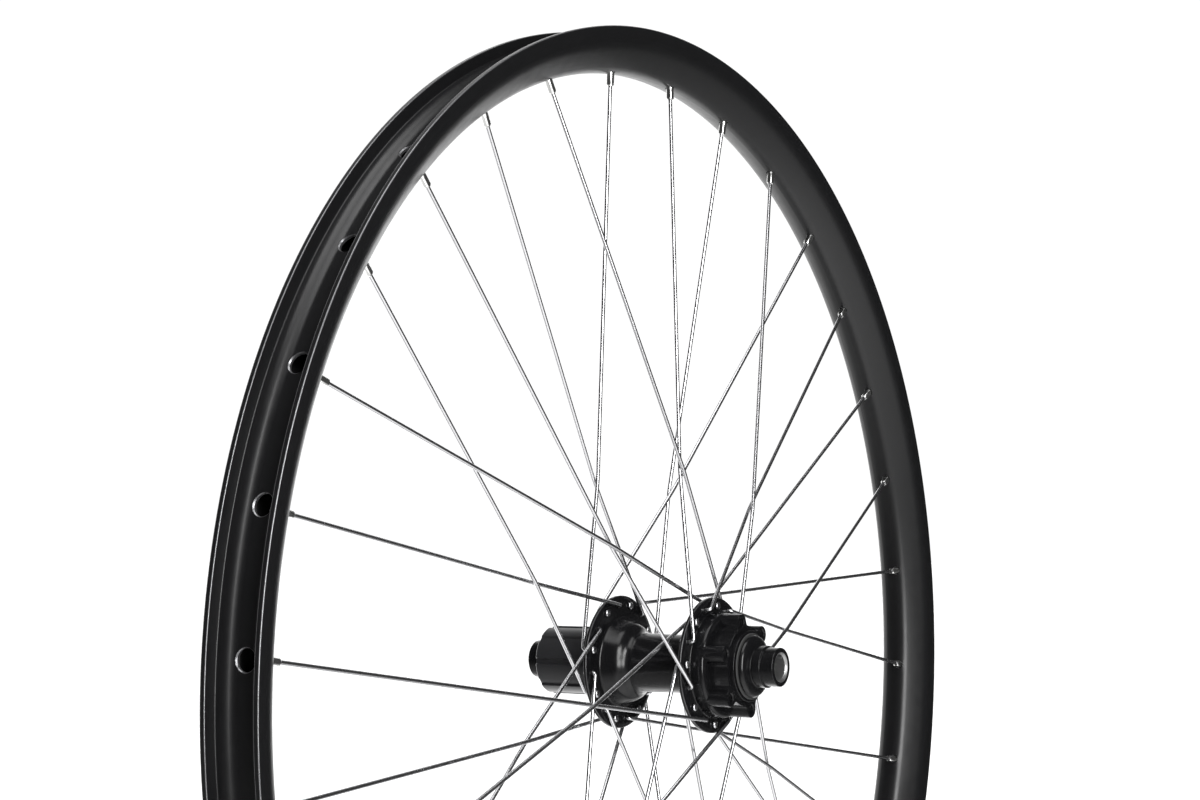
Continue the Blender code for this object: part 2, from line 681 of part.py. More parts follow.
def freehub_body(parent):
    """The splined cassette carrier with its pawl snout and bearing seats."""
    inner = BEARINGS["freehub_inner"]
    outer = BEARINGS["freehub_outer"]
    inner_seat = inner[2] + SEAT_CLEARANCE
    outer_seat = outer[2] + SEAT_CLEARANCE
    loop = [
        (SNOUT_END, SNOUT_RADIUS), (SNOUT_START, SNOUT_RADIUS), (SNOUT_START, SHOULDER_RADIUS),
        (SPLINE_START, SHOULDER_RADIUS), (SPLINE_START, SPLINE_RADIUS), (FREEHUB_END, SPLINE_RADIUS),
        (FREEHUB_END, LOCKRING_BORE), (outer[0] - outer[1] - CLEAR, LOCKRING_BORE),
        (outer[0] - outer[1] - CLEAR, outer_seat), (outer[0] + outer[1] + CLEAR, outer_seat),
        (outer[0] + outer[1] + CLEAR, inner_seat), (inner[0] + inner[1] + CLEAR, inner_seat),
        (inner[0] + inner[1] + CLEAR, SNOUT_BORE), (SNOUT_END, SNOUT_BORE),
    ]
    obj = turned("freehub_body", [loop], "grey_black", parent)
    boolean(obj, spline_grooves())
    for i in range(PAWL_COUNT):
        angle = PAWL_ANGLE + 2 * math.pi * i / PAWL_COUNT
        pocket = plate("pawl_pocket_%d" % (i + 1), [turned_outline(pocket_outline(), angle)],
                       PAWL_FACES[0] + CLEAR, PAWL_FACES[1] - CLEAR)
        boolean(obj, pocket)
    boolean(obj, spring_groove("snout_groove", SPRING_GROOVE[2]))
    return obj


def pawls(parent):
    """Three pawls folded clear of the teeth, each notched so that it can rise past the spring."""
    for i in range(PAWL_COUNT):
        angle = PAWL_ANGLE + 2 * math.pi * i / PAWL_COUNT
        pivot = polar(PAWL_PIVOT_RADIUS, angle + PAWL_SPAN, 0)
        outline = turned_outline(pawl_outline(), angle - PAWL_FOLD)
        obj = plate("pawl_%d" % (i + 1), [outline], PAWL_FACES[0], PAWL_FACES[1],
                    "ground_steel", parent, (pivot.x, pivot.z))
        notch = spring_groove("pawl_notch_%d" % (i + 1), SHOULDER_RADIUS)
        fold = Matrix.Rotation(PAWL_FOLD, 4, "Y")
        about_pivot = Matrix.Translation(pivot) @ fold @ Matrix.Translation(-pivot)
        notch.matrix_basis = about_pivot @ notch.matrix_basis
        boolean(obj, notch)


def pawl_spring(parent):
    """The open ring spring that lifts the pawls."""
    points = []
    steps = 24
    for i in range(steps + 1):
        turn = (2 * math.pi - SPRING_OPENING) * i / steps
        angle = PAWL_ANGLE + math.radians(45) + turn
        points.append((polar(SPRING_RADIUS, angle, SPRING_PLACE), 1))
    return wire("pawl_spring", points, SPRING_WIRE, "bright_steel", parent, 0)


def ratchet_ring(parent):
    """The toothed drive ring pressed in the shell."""
    pitch = 2 * math.pi / RATCHET_TEETH
    teeth = []
    for i in range(RATCHET_TEETH):
        angle = PAWL_ANGLE - RATCHET_LAG + i * pitch
        for radius, turn in ((RATCHET_TIP, angle), (RATCHET_ROOT, angle),
                             (RATCHET_ROOT, angle + RATCHET_BACK * pitch)):
            teeth.append(Vector((radius * math.cos(turn), radius * math.sin(turn))))
    return plate("ratchet_ring", [circle(RATCHET_RADIUS, HUB_STEPS), teeth],
                 POCKET_BOTTOM - CLEAR, RATCHET_END, "ground_steel", parent)


# ---- Assembly -----------------------------------------------------------------------

def build():
    """Every sub-part, on its own turning axis."""
    wheel = axis_empty("wheel_axis")
    freehub = axis_empty("freehub_axis")
    wheel_cages = axis_empty("wheel_cage_axis")
    freehub_cages = axis_empty("freehub_cage_axis")
    rim(wheel)
    for k in range(SPOKE_COUNT):
        spoke(k, wheel)
    hub_shell(wheel)
    ratchet_ring(wheel)
    dust_cover_disc(wheel)
    axle()
    end_cap_disc()
    end_cap_drive()
    bearing("hub_disc", wheel, wheel_cages)
    bearing("hub_drive", wheel, wheel_cages)
    bearing("freehub_inner", freehub, freehub_cages)
    bearing("freehub_outer", freehub, freehub_cages)
    freehub_body(freehub)
    pawls(freehub)
    pawl_spring(freehub)
    ring("freehub_seal", *SEAL_FACES, *SEAL_RADII, "black_rubber", freehub)
    spacer("axle_spacer", "hub_drive", "freehub_inner")
    spacer("freehub_spacer", "freehub_inner", "freehub_outer")


build()
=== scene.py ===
"""Looks of the spoked rear wheel: its fine meshes, materials, light and camera.

Units are metres, in the frame's own axes: the origin is the wheel's centre, +Y is the
axle's disc-brake end and +Z is up. Angles about the axle run from +X towards +Z.
"""
import math

import bmesh
import bpy
from mathutils import Matrix, Vector


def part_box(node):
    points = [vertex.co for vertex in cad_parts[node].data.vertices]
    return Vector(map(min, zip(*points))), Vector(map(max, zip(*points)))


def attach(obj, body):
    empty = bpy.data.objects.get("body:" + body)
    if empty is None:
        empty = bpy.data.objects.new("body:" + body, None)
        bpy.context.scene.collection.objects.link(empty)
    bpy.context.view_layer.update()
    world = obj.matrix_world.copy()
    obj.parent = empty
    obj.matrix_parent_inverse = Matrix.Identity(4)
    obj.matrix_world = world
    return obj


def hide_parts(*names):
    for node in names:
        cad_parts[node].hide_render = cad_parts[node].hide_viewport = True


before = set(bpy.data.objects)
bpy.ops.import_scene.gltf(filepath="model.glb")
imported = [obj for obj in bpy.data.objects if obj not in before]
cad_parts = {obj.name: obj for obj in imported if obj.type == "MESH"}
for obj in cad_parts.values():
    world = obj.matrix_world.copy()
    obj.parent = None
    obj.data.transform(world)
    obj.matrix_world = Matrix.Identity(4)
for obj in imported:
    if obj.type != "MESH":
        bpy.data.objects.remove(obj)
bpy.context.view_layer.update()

AXIS = Vector((0.0, 1.0, 0.0))

# ---- Sizes ----

# Rim
RIM_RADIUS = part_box("rim")[1].z
RIM_HALF_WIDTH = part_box("rim")[1].y
RIM_INNER_RADIUS = 0.2956
BEAD_SEAT_RADIUS = 0.3110
WELL_RADIUS = 0.3078
WELL_HALF_WIDTH = 0.0064
FLANGE_THICKNESS = 0.0026
SPOKE_BED = 0.0026  # thickness under the nipple heads
CEILING = (0.0060, 0.3063, 0.0006)  # the hollow's corner under the well
ALL_ROUND = 0.01  # a fillet as long as its sides allow
DISC_SIDEWALL = (
    (0.0024, RIM_INNER_RADIUS, ALL_ROUND), (0.0088, 0.3019, ALL_ROUND),
    (0.0130, 0.3068, ALL_ROUND), (RIM_HALF_WIDTH, 0.3112, ALL_ROUND))
DRIVE_SIDEWALL = (
    (-RIM_HALF_WIDTH, 0.3062, 0.0050), (-0.0118, 0.2986, 0.0045),
    (-0.0050, RIM_INNER_RADIUS, 0.0040))
DISC_HOLLOW = ((0.0122, 0.3089, 0.0010), (0.0078, 0.3030, 0.0020), (0.0034, 0.2983, 0.0006))
DRIVE_HOLLOW = (
    (-0.0048, 0.2983, 0.0006), (-0.0105, 0.3006, 0.0020), (-0.0133, 0.3066, 0.0010),
    (-0.0132, 0.3088, 0.0006))
RIM_STEPS = 320
ACCESS_HOLE_RADIUS = 0.0047
NIPPLE_HOLE_RADIUS = 0.0023
VALVE_HOLE_RADIUS = 0.00325
VALVE_POSITION = 24.5  # in spoke pitches from the first spoke
DRILL_DEPTH = 0.0065  # of the wide access drilling above the spoke bed
DRILL_RUN_OUT = 0.0040  # how far a drill starts outside the metal

# Spokes and nipples
SPOKE_COUNT = 32
SPOKE_PITCH = 2 * math.pi / SPOKE_COUNT
FIRST_SPOKE = math.radians(3.0)
SPOKE_RADIUS = 0.0010
SPOKE_SWEEP = math.radians(67.5)
SPOKE_CROSS_GAP = 0.00235
SPOKE_PATTERN = 4  # spokes before the lacing repeats
ELBOW_RADIUS = 0.0016
ELBOW_STANDOFF_OUT = 0.0028
ELBOW_STANDOFF_IN = 0.0019
CROSS_BEND = (0.05, 8)  # where two spokes lean on each other: radius and steps
ELBOW_STEPS = 10
HEAD_PROFILE = (  # above the flange, and as a share of the spoke's radius
    (-0.0002, 1.0), (0.0, 1.05), (0.0001, 1.75), (0.0003, 1.90), (0.0006, 1.86),
    (0.0009, 1.62), (0.00112, 1.20), (0.00122, 0.75), (0.00115, 0.60), (0.00108, 0.35))
WIRE_SIDES = 20
NIPPLE_RADIUS = 0.00195
NIPPLE_FLAT = 0.00165
NIPPLE_HEAD_RADIUS = 0.0029
NIPPLE_HEAD_HEIGHT = 0.0030
NIPPLE_LENGTH = 0.0095  # below its head
NIPPLE_SEAT_GAP = 0.0006
NIPPLE_SLOT = (0.0010, 0.0004)  # depth and half width
NIPPLE_SIDES = 32

# Hub
DISC_FLANGE = (0.0315, 0.0345)
DRIVE_FLANGE = (-0.0195, -0.0225)
FLANGE_RADIUS = 0.0335
FLANGE_TAPER = (0.0007, 0.0022)  # of a flange's rim: along the axle, and outwards
SPOKE_HOLE_CIRCLE = 0.0290
SPOKE_HOLE_RADIUS = 0.00135
HOLE_MOUTH = 0.0005  # depth of its countersink
BARREL_RADIUS = 0.0148
BARREL_BORE = 0.0122
BARREL_FLARE = (0.0036, 0.0190)  # at the disc flange: its length and its end's radius
BARREL_WAIST = (0.0100, 0.0145)
BELL = (
    (-0.0060, 0.0148, 0.0020), (-0.0085, 0.0160, 0.0020), (-0.0112, 0.0190, 0.0020),
    (-0.0150, 0.0206, 0.0015))
BELL_FOOT_RADIUS = 0.0226
SKIRT_RADIUS = 0.0208  # outboard of the drive flange
ROTOR_FACE = 0.0522
ROTOR_BOLT_CIRCLE = 0.0220
ROTOR_BORE = 0.0160
ROTOR_TAP_DEPTH = 0.0085
ROTOR_LUGS = 6
ROTOR_LUG_ANGLE = math.radians(17.5)
LUG_HALF_WIDTH = 0.0044
LUG_FILLET = 0.0022
LUG_SET_BACK = 0.0003  # of the lug's end arc from the bolt circle
WEB_RADIUS = 0.0198
MOUNT_SINK = 0.0015  # of the lobed mount into the drum
MOUNT_BEVEL = 0.00035
SPIGOT_RADIUS = 0.0174
SPIGOT_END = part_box("hub_shell")[1].y
DRUM_RADIUS = 0.0258
DRUM_END = 0.0420
DRUM_CHAMFER = 0.0024
HUB_DRIVE_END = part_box("hub_shell")[0].y
POCKET_BOTTOM = -0.0163
POCKET_RADIUS = 0.0183
THREAD_PITCH = 0.0008
THREAD_MINOR = 0.0021
THREAD_MAJOR = 0.0025

# Axle, caps and bearings
CAP_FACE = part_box("end_cap_disc")[1].y
AXLE_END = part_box("axle")[1].y
AXLE_RADIUS = 0.0075
AXLE_BORE = 0.0061
AXLE_SHOULDER = 0.0089
CAP_RADIUS = 0.0095  # the spigot that the dropout locates
CAP_SLEEVE_RADIUS = 0.0096
CAP_MOUTH = 0.0011  # its countersink, along the axle and outwards
COLLAR = (0.0598, 0.0642, 0.0103)  # on the disc cap: inboard end, outboard end, radius
DOME = (
    (0.0594, 0.0098, 0.0003), (0.0590, 0.0104, 0.0004), (0.0584, 0.0128, 0.0008),
    (0.0576, 0.0145, 0.0010), (0.0562, 0.0152, 0.0006), (0.0556, 0.0150, 0.0002))
DRIVE_SHIELD = (
    (-0.0576, 0.0146, 0.0003), (-0.0590, 0.0146, 0.0005), (-0.0602, 0.0110, 0.0006))
CAP_THROAT = -0.0612  # where the drive cap's spigot starts
DUST_COVER_LIP = 0.0100
FREEHUB_SEAL_LIP = 0.0153
CLEAR = 0.0003  # between neighbouring pieces
SEAT_GAP = 0.0001  # round a bearing in its seat
RACE_SHARE = 0.21  # of the gap from bore to outer diameter
TRACK_SINK = 0.22  # of a ball in its race, as a share of the race
BALL_PLAY = 0.00003
BALL_COUNT = 11
BALL_ROWS = 14
BALL_SIDES = 24
TRACK_STEPS = 8
CAGE_WALL = 0.30  # as a share of the half gap between the races
CAGE_WIDTH = 0.85  # as a share of a ball
CAGE_POCKET = 1.04  # as a share of a ball
CAGE_STEPS = 88

# Freehub
FREEHUB_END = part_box("freehub_body")[0].y
SPLINE_START = -0.0276
SPLINE_RADIUS = 0.0173
SPLINE_DEPTH = 0.0011
SPLINE_COUNT = 9
SPLINE_HALF_WIDTHS = (4.6, 6.6)  # of the one narrow groove and the others, in degrees
SHOULDER_RADIUS = 0.0188  # the step behind the largest cog
SNOUT_START = -0.0262
SNOUT_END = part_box("freehub_body")[1].y
SNOUT_RADIUS = 0.0148
SNOUT_BORE = 0.0098
LOCKRING_BORE = 0.01535
LOCKRING_PITCH = 0.0010
LOCKRING_THREAD = 0.0004
RATCHET_TEETH = 24
RATCHET_TIP = 0.0152
RATCHET_ROOT = 0.0166
RATCHET_RADIUS = 0.0180
RATCHET_LAG = math.radians(2.5)  # of its tooth faces behind a raised pawl's tip
TOOTH_FLAT = 0.30  # share of a tooth's pitch at full depth
PAWL_COUNT = 3
PAWL_PIVOT_RADIUS = 0.0129
PAWL_SPAN = math.radians(29.0)
PAWL_FACES = (-0.0177, -0.0233)
PAWL_HEEL = 0.0017
PAWL_TIP_RADIUS = 0.0163
PAWL_ANGLE = math.radians(75.0)
PAWL_FOLD = math.radians(12.0)
PAWL_POCKET = ((0.0116, 6.0), (0.0116, -3.5), (0.0190, -3.5), (0.0190, 32.0))
SPRING_PLACE = -0.0205
SPRING_GROOVE = (0.0008, 0.0131)  # half width and floor radius
GROOVE_REACH = (0.0170, 0.0200)  # outside its cutter, for the snout and for a pawl
SPRING_SWEEP = (45, 340)  # first angle and sweep in degrees
SPRING_WIRE = 0.0004
SPRING_RADIUS = 0.0139

FINE_STEPS = 144
FREEHUB_STEPS = 360
SMOOTH_ANGLE = math.radians(34)
SIDE_SHARE = 0.48  # of a side that a fillet may take up
WELD = 0.000001


# ---- Materials ----

def add_node(tree, kind, inputs=(), **settings):
    """A shader node, with its inputs set or linked."""
    made = tree.nodes.new(kind)
    for name, value in settings.items():
        setattr(made, name, value)
    for name, value in dict(inputs).items():
        if isinstance(value, bpy.types.NodeSocket):
            tree.links.new(value, made.inputs[name])
        else:
            made.inputs[name].default_value = value
    return made


PATCH_SCALE = 55.0
SMEAR_SCALE = 160.0
LATHE_SCALE = 2600.0
GRAIN_SCALE = 5200.0
MARK_DEPTH = 0.00004


def finish(name, colour, metallic, roughness, lathe=0.0, grain=0.0, mottle=0.12,
           rough_spread=0.06, specular=0.5):
    """A worked surface: turning marks about the axle, fine grain, and uneven tone and gloss."""
    made = bpy.data.materials.new(name)
    made.use_nodes = True
    made.diffuse_color = (*colour, 1)
    tree = made.node_tree
    shader = tree.nodes["Principled BSDF"]
    shader.inputs["Metallic"].default_value = metallic
    shader.inputs["Specular IOR Level"].default_value = specular
    spot = add_node(tree, "ShaderNodeTexCoord").outputs["Object"]
    patches = add_node(
        tree, "ShaderNodeTexNoise", {"Vector": spot, "Scale": PATCH_SCALE, "Detail": 5.0})
    dark = (*(c * (1 - mottle) for c in colour), 1)
    light = (*(c * (1 + mottle) for c in colour), 1)
    tone = add_node(
        tree, "ShaderNodeMix",
        {"Factor": patches.outputs["Fac"], "A": dark, "B": light}, data_type="RGBA")
    tree.links.new(tone.outputs["Result"], shader.inputs["Base Color"])
    smears = add_node(
        tree, "ShaderNodeTexNoise", {"Vector": spot, "Scale": SMEAR_SCALE, "Detail": 3.0})
    gloss = add_node(
        tree, "ShaderNodeMapRange",
        {"Value": smears.outputs["Fac"], "To Min": roughness - rough_spread,
         "To Max": roughness + rough_spread})
    tree.links.new(gloss.outputs["Result"], shader.inputs["Roughness"])
    axes = add_node(tree, "ShaderNodeSeparateXYZ", {"Vector": spot})
    across = add_node(
        tree, "ShaderNodeCombineXYZ", {"X": axes.outputs["X"], "Z": axes.outputs["Z"]})
    radius = add_node(
        tree, "ShaderNodeVectorMath", {0: across.outputs["Vector"]}, operation="LENGTH")
    turning = add_node(
        tree, "ShaderNodeCombineXYZ", {"X": radius.outputs["Value"], "Y": axes.outputs["Y"]})
    marks = add_node(
        tree, "ShaderNodeTexNoise",
        {"Vector": turning.outputs["Vector"], "Scale": LATHE_SCALE, "Detail": 2.0})
    lines = add_node(
        tree, "ShaderNodeBump",
        {"Height": marks.outputs["Fac"], "Strength": lathe, "Distance": MARK_DEPTH})
    specks = add_node(
        tree, "ShaderNodeTexNoise", {"Vector": spot, "Scale": GRAIN_SCALE, "Detail": 2.0})
    bumps = add_node(
        tree, "ShaderNodeBump",
        {"Height": specks.outputs["Fac"], "Strength": grain, "Distance": MARK_DEPTH,
         "Normal": lines.outputs["Normal"]})
    tree.links.new(bumps.outputs["Normal"], shader.inputs["Normal"])
    return made


# Each: colour, metallic, roughness, lathe, grain, mottle, spread of roughness and specular
FINISH_ROWS = {
    "rim_black": ((0.0035, 0.0035, 0.0038), 0.0, 0.34, 0.10, 0.16, 0.12, 0.06, 0.26),
    # The rim's edge finish is a painted highlight: a lighter grey metal on the flange tips'
    # rounded corners and on the drilled hole walls.
    "rim_painted_highlight": ((0.14, 0.14, 0.145), 0.8, 0.30, 0.15, 0.10),
    "hub_black": ((0.0028, 0.0028, 0.0031), 0.0, 0.20, 0.12, 0.03, 0.12, 0.06, 0.20),
    # The hub's edge finish is a painted highlight: a lighter, more metallic black on the flange
    # edges, the shell's drive-end corner, the spoke holes and the carrier's end corner.
    "hub_painted_highlight": ((0.030, 0.030, 0.031), 0.4, 0.20, 0.10, 0.03),
    "bore_grey": ((0.22, 0.22, 0.22), 0.9, 0.38, 0.30, 0.05),
    "freehub_grey": ((0.012, 0.012, 0.013), 0.2, 0.30, 0.25, 0.08, 0.12, 0.06, 0.35),
    "spoke_steel": ((0.46, 0.46, 0.47), 1.0, 0.27, 0.0, 0.0, 0.05, 0.03),
    "nipple_plate": ((0.72, 0.72, 0.71), 1.0, 0.26, 0.0, 0.0, 0.05, 0.04),
    "race_steel": ((0.55, 0.55, 0.56), 1.0, 0.26, 0.35, 0.03, 0.06),
    "ball_steel": ((0.75, 0.75, 0.76), 1.0, 0.08, 0.0, 0.0, 0.03, 0.03),
    "cage_steel": ((0.46, 0.44, 0.40), 1.0, 0.34, 0.1, 0.10, 0.08),
    "bare_aluminium": ((0.62, 0.63, 0.64), 1.0, 0.30, 0.45, 0.05),
    "seal_rubber": ((0.016, 0.016, 0.016), 0.0, 0.62, 0.20, 0.35),
    "tool_steel": ((0.40, 0.40, 0.41), 1.0, 0.32, 0.15, 0.12),
    "spring_steel": ((0.52, 0.50, 0.47), 1.0, 0.25, 0.0, 0.08),
}
FINISHES = {name: finish(name, *row) for name, row in FINISH_ROWS.items()}


# ---- Modelling tools ----

def polar(radius, angle, y=0.0):
    """A point at a radius and angle about the axle."""
    return Vector((radius * math.cos(angle), y, radius * math.sin(angle)))


def new_object(name, mesh, finishes):
    """An object with the named finishes, shaded smooth up to its sharp edges."""
    for finish_name in finishes:
        mesh.materials.append(FINISHES[finish_name])
    mesh.shade_smooth()
    mesh.set_sharp_from_angle(angle=SMOOTH_ANGLE)
    obj = bpy.data.objects.new(name, mesh)
    bpy.context.scene.collection.objects.link(obj)
    return obj


def mesh_of(name, points, faces, second_finish=()):
    """A mesh whose second_finish faces take the second finish: a painted highlight on edges, and a
    cap bore's grey.
    """
    mesh = bpy.data.meshes.new(name)
    mesh.from_pydata(points, [], faces)
    for i in second_finish:
        mesh.polygons[i].material_index = 1
    return mesh


def soften(corners, steps=3):
    """A closed section from (y, radius, fillet, second_finish) corners, each rounded by its
    fillet.

    A fillet is the length that it takes up of each side. Fillet and second_finish may be left out.
    Gives (y, radius, second_finish) points, where second_finish marks the stretch that follows a
    point.
    """
    rows = [(Vector(c[:2]), c[2] if len(c) > 2 else 0.0, len(c) > 3 and c[3]) for c in corners]
    points = []
    for i, (corner, fillet, second_finish) in enumerate(rows):
        if not fillet:
            points.append((*corner, False))
            continue
        before = rows[i - 1][0] - corner
        after = rows[(i + 1) % len(rows)][0] - corner
        reach = min(fillet, SIDE_SHARE * before.length, SIDE_SHARE * after.length)
        first = corner + before.normalized() * reach
        last = corner + after.normalized() * reach
        for step in range(steps + 1):
            t = step / steps
            spot = first * (1 - t) ** 2 + corner * 2 * t * (1 - t) + last * t ** 2
            points.append((*spot, bool(second_finish) and step < steps))
    return points


def turned(name, loops, finishes, steps=FINE_STEPS, start=0.0, flute=None):
    """A body turned about the axle from closed loops of (y, radius, second_finish) points.

    An outer loop runs from +Y to -Y on its outer side, and a hollow's loop the other way.
    flute(y, radius, angle) gives a changed radius.
    """
    points = []
    faces = []
    second_finish = []
    for loop in loops:
        first = len(points)
        count = len(loop)
        for step in range(steps):
            angle = start + 2 * math.pi * step / steps
            for y, radius, _ in loop:
                radius = flute(y, radius, angle) if flute else radius
                points.append(polar(radius, angle, y))
        for step in range(steps):
            here = first + step * count
            there = first + (step + 1) % steps * count
            for i in range(count):
                after = (i + 1) % count
                if loop[i][2]:
                    second_finish.append(len(faces))
                faces.append((here + i, there + i, there + after, here + after))
    return new_object(name, mesh_of(name, points, faces, second_finish), finishes)


def circle_ring(centre, turn, radius, sides, flat=None):
    """Points round a centre, square to a direction, cut to four flats where flat is given."""
    points = []
    for i in range(sides):
        angle = 2 * math.pi * (i + 0.5) / sides
        across = math.cos(angle)
        up = math.sin(angle)
        reach = radius if flat is None else min(radius, flat / max(abs(across), abs(up)))
        points.append(centre + turn @ Vector((across * reach, up * reach, 0)))
    return points


def lofted(name, bodies, finishes):
    """Closed bodies, each lofted through its rings of points, which run anticlockwise."""
    points = []
    faces = []
    for rings in bodies:
        first = len(points)
        count = len(rings[0])
        for ring in rings:
            points.extend(ring)
        for row in range(len(rings) - 1):
            for i in range(count):
                here = first + row * count + i
                beside = first + row * count + (i + 1) % count
                faces.append((here, beside, beside + count, here + count))
        last = first + (len(rings) - 1) * count
        faces.append(tuple(range(first + count - 1, first - 1, -1)))
        faces.append(tuple(range(last, last + count)))
    return new_object(name, mesh_of(name, points, faces), finishes)


def spun(start, direction, profile, sides):
    """Rings of a body spun about a line: profile is (distance along the line, radius)."""
    turn = direction.to_track_quat("Z", "Y").to_matrix()
    return [circle_ring(start + direction * run, turn, radius, sides) for run, radius in profile]


def tube_rings(points, radii, sides):
    """Rings along a path, turned from point to point without twist."""
    rings = []
    turn = None
    for i, spot in enumerate(points):
        before = points[max(i - 1, 0)]
        after = points[min(i + 1, len(points) - 1)]
        along = (after - before).normalized()
        if turn is None:
            turn = along.to_track_quat("Z", "Y")
        else:
            turn = last_along.rotation_difference(along) @ turn
        last_along = along
        rings.append(circle_ring(spot, turn.to_matrix(), radii[i], sides))
    return rings


def plate(name, outlines, y_high, y_low, finishes, bevel=0.0):
    """Flat outlines of (x, z) points, extruded along the axle, with bevelled edges."""
    curve = bpy.data.curves.new(name, "CURVE")
    curve.dimensions = "2D"
    curve.fill_mode = "BOTH"
    curve.extrude = (y_high - y_low) / 2 - bevel
    curve.bevel_depth = bevel
    curve.bevel_resolution = 1
    curve.offset = -bevel
    for outline in outlines:
        spline = curve.splines.new("POLY")
        spline.points.add(len(outline) - 1)
        for point, (x, z) in zip(spline.points, outline):
            point.co = (x, -z, 0, 1)
        spline.use_cyclic_u = True
    shape = bpy.data.objects.new(name + "_outline", curve)
    bpy.context.scene.collection.objects.link(shape)
    depsgraph = bpy.context.evaluated_depsgraph_get()
    mesh = bpy.data.meshes.new_from_object(shape.evaluated_get(depsgraph))
    bpy.data.objects.remove(shape, do_unlink=True)
    bpy.data.curves.remove(curve)
    welded = bmesh.new()
    welded.from_mesh(mesh)
    bmesh.ops.remove_doubles(welded, verts=welded.verts, dist=WELD)
    bmesh.ops.recalc_face_normals(welded, faces=welded.faces)
    lay = Matrix.Translation((0, (y_high + y_low) / 2, 0)) @ Matrix.Rotation(-math.pi / 2, 4, "X")
    bmesh.ops.transform(welded, matrix=lay, verts=welded.verts)
    welded.to_mesh(mesh)
    welded.free()
    mesh.materials.clear()
    return new_object(name, mesh, finishes)


def cut(obj, cutter, operation="DIFFERENCE"):
    """Cut an object by another, or join the two, and remove the other."""
    modifier = obj.modifiers.new("Cut", "BOOLEAN")
    modifier.operation = operation
    modifier.solver = "EXACT"
    modifier.material_mode = "TRANSFER"
    modifier.object = cutter
    freeze(obj)
    bpy.data.objects.remove(cutter, do_unlink=True)


def freeze(obj):
    """Replace an object's mesh by the mesh that its modifiers give."""
    depsgraph = bpy.context.evaluated_depsgraph_get()
    mesh = bpy.data.meshes.new_from_object(obj.evaluated_get(depsgraph))
    obj.modifiers.clear()
    obj.data = mesh
    mesh.shade_smooth()
    mesh.set_sharp_from_angle(angle=SMOOTH_ANGLE)


def settle(obj, body, slot, *nodes):
    """Even out a finished piece's shading, and place it on its body for its CAD nodes."""
    modifier = obj.modifiers.new("Normals", "WEIGHTED_NORMAL")
    modifier.keep_sharp = True
    modifier.weight = 80
    depsgraph = bpy.context.evaluated_depsgraph_get()
    mesh = bpy.data.meshes.new_from_object(obj.evaluated_get(depsgraph))
    obj.modifiers.clear()
    obj.data = mesh
    return place(obj, body, slot, *nodes)


def place(obj, body, slot, *nodes):
    """Ride a piece on its body and let it stand for its CAD nodes."""
    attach(obj, body)
    if nodes:
        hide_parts(*nodes)
    return obj


# ---- Rim ----

def mirrored(half):
    """Both halves of a symmetrical stretch of a section, from its +Y half."""
    return half + [(-c[0], *c[1:]) for c in reversed(half)]


def rim():
    """The double-wall rim: softened sidewalls, flange tips, well and drilled holes."""
    tip = RIM_HALF_WIDTH - FLANGE_THICKNESS
    channel = mirrored([
        # The flange tips' rounded corners take the rim's edge finish, a painted highlight.
        (RIM_HALF_WIDTH, RIM_RADIUS, 0.0005, True),
        (tip, RIM_RADIUS, 0.0004, True),
        (tip, BEAD_SEAT_RADIUS, 0.0008),
        (WELL_HALF_WIDTH + 0.0018, BEAD_SEAT_RADIUS - 0.0002, 0.0030),
        (WELL_HALF_WIDTH - 0.0012, WELL_RADIUS, 0.0030),
    ])
    hollow = [CEILING, *DISC_HOLLOW, *DRIVE_HOLLOW, (-CEILING[0], *CEILING[1:])]
    obj = turned(
        "rim_extrusion",
        [soften([*DISC_SIDEWALL, *channel, *DRIVE_SIDEWALL], 4), soften(hollow, 2)],
        ["rim_black", "rim_painted_highlight"], RIM_STEPS, FIRST_SPOKE)
    bores = []
    middle = RIM_INNER_RADIUS + DRILL_DEPTH
    mouth = 0.0005
    access = [
        (0, ACCESS_HOLE_RADIUS), (WELL_RADIUS - 0.0004 - middle, ACCESS_HOLE_RADIUS),
        (WELL_RADIUS + 0.0001 - middle, ACCESS_HOLE_RADIUS + mouth),
        (BEAD_SEAT_RADIUS + 0.001 - middle, ACCESS_HOLE_RADIUS + mouth),
    ]
    nipple_hole = [
        (-DRILL_RUN_OUT, NIPPLE_HOLE_RADIUS + DRILL_RUN_OUT), (0.0002, NIPPLE_HOLE_RADIUS),
        (DRILL_DEPTH - 0.001, NIPPLE_HOLE_RADIUS),
    ]
    valve = [(-DRILL_RUN_OUT, VALVE_HOLE_RADIUS),
             (RIM_RADIUS - RIM_INNER_RADIUS, VALVE_HOLE_RADIUS)]
    for k in range(SPOKE_COUNT):
        angle = FIRST_SPOKE + k * SPOKE_PITCH
        bores.append(spun(polar(middle, angle), polar(1, angle), access, 48))
        bores.append(spun(polar(RIM_INNER_RADIUS, angle), polar(1, angle), nipple_hole, 32))
    angle = FIRST_SPOKE + VALVE_POSITION * SPOKE_PITCH
    bores.append(spun(polar(RIM_INNER_RADIUS, angle), polar(1, angle), valve, 40))
    # The hole walls take the rim's edge finish, the lighter grey of the painted highlight.
    cut(obj, lofted("rim_drillings", bores, ["rim_painted_highlight"]))
    return settle(obj, "wheel", "rim_black", "rim")


# ---- Spokes ----

def spoke_layout(k):
    """Flange faces, outward side, sweep and elbow side of spoke k."""
    faces, outward = (DISC_FLANGE, 1) if k % 2 == 0 else (DRIVE_FLANGE, -1)
    elbow_outboard = k % 4 in (0, 3)
    sweep = -SPOKE_SWEEP if elbow_outboard else SPOKE_SWEEP
    return faces, outward, sweep, elbow_outboard


def cross_y(faces, outward, share, elbow_outboard):
    """Where the spoke lies along the axle at its woven cross, a share of the way in."""
    elbows = (faces[0] - outward * ELBOW_STANDOFF_IN, faces[1] + outward * ELBOW_STANDOFF_OUT)
    middle = share * (elbows[0] + elbows[1]) / 2
    side = -outward if elbow_outboard else outward
    return middle + side * SPOKE_CROSS_GAP / 2


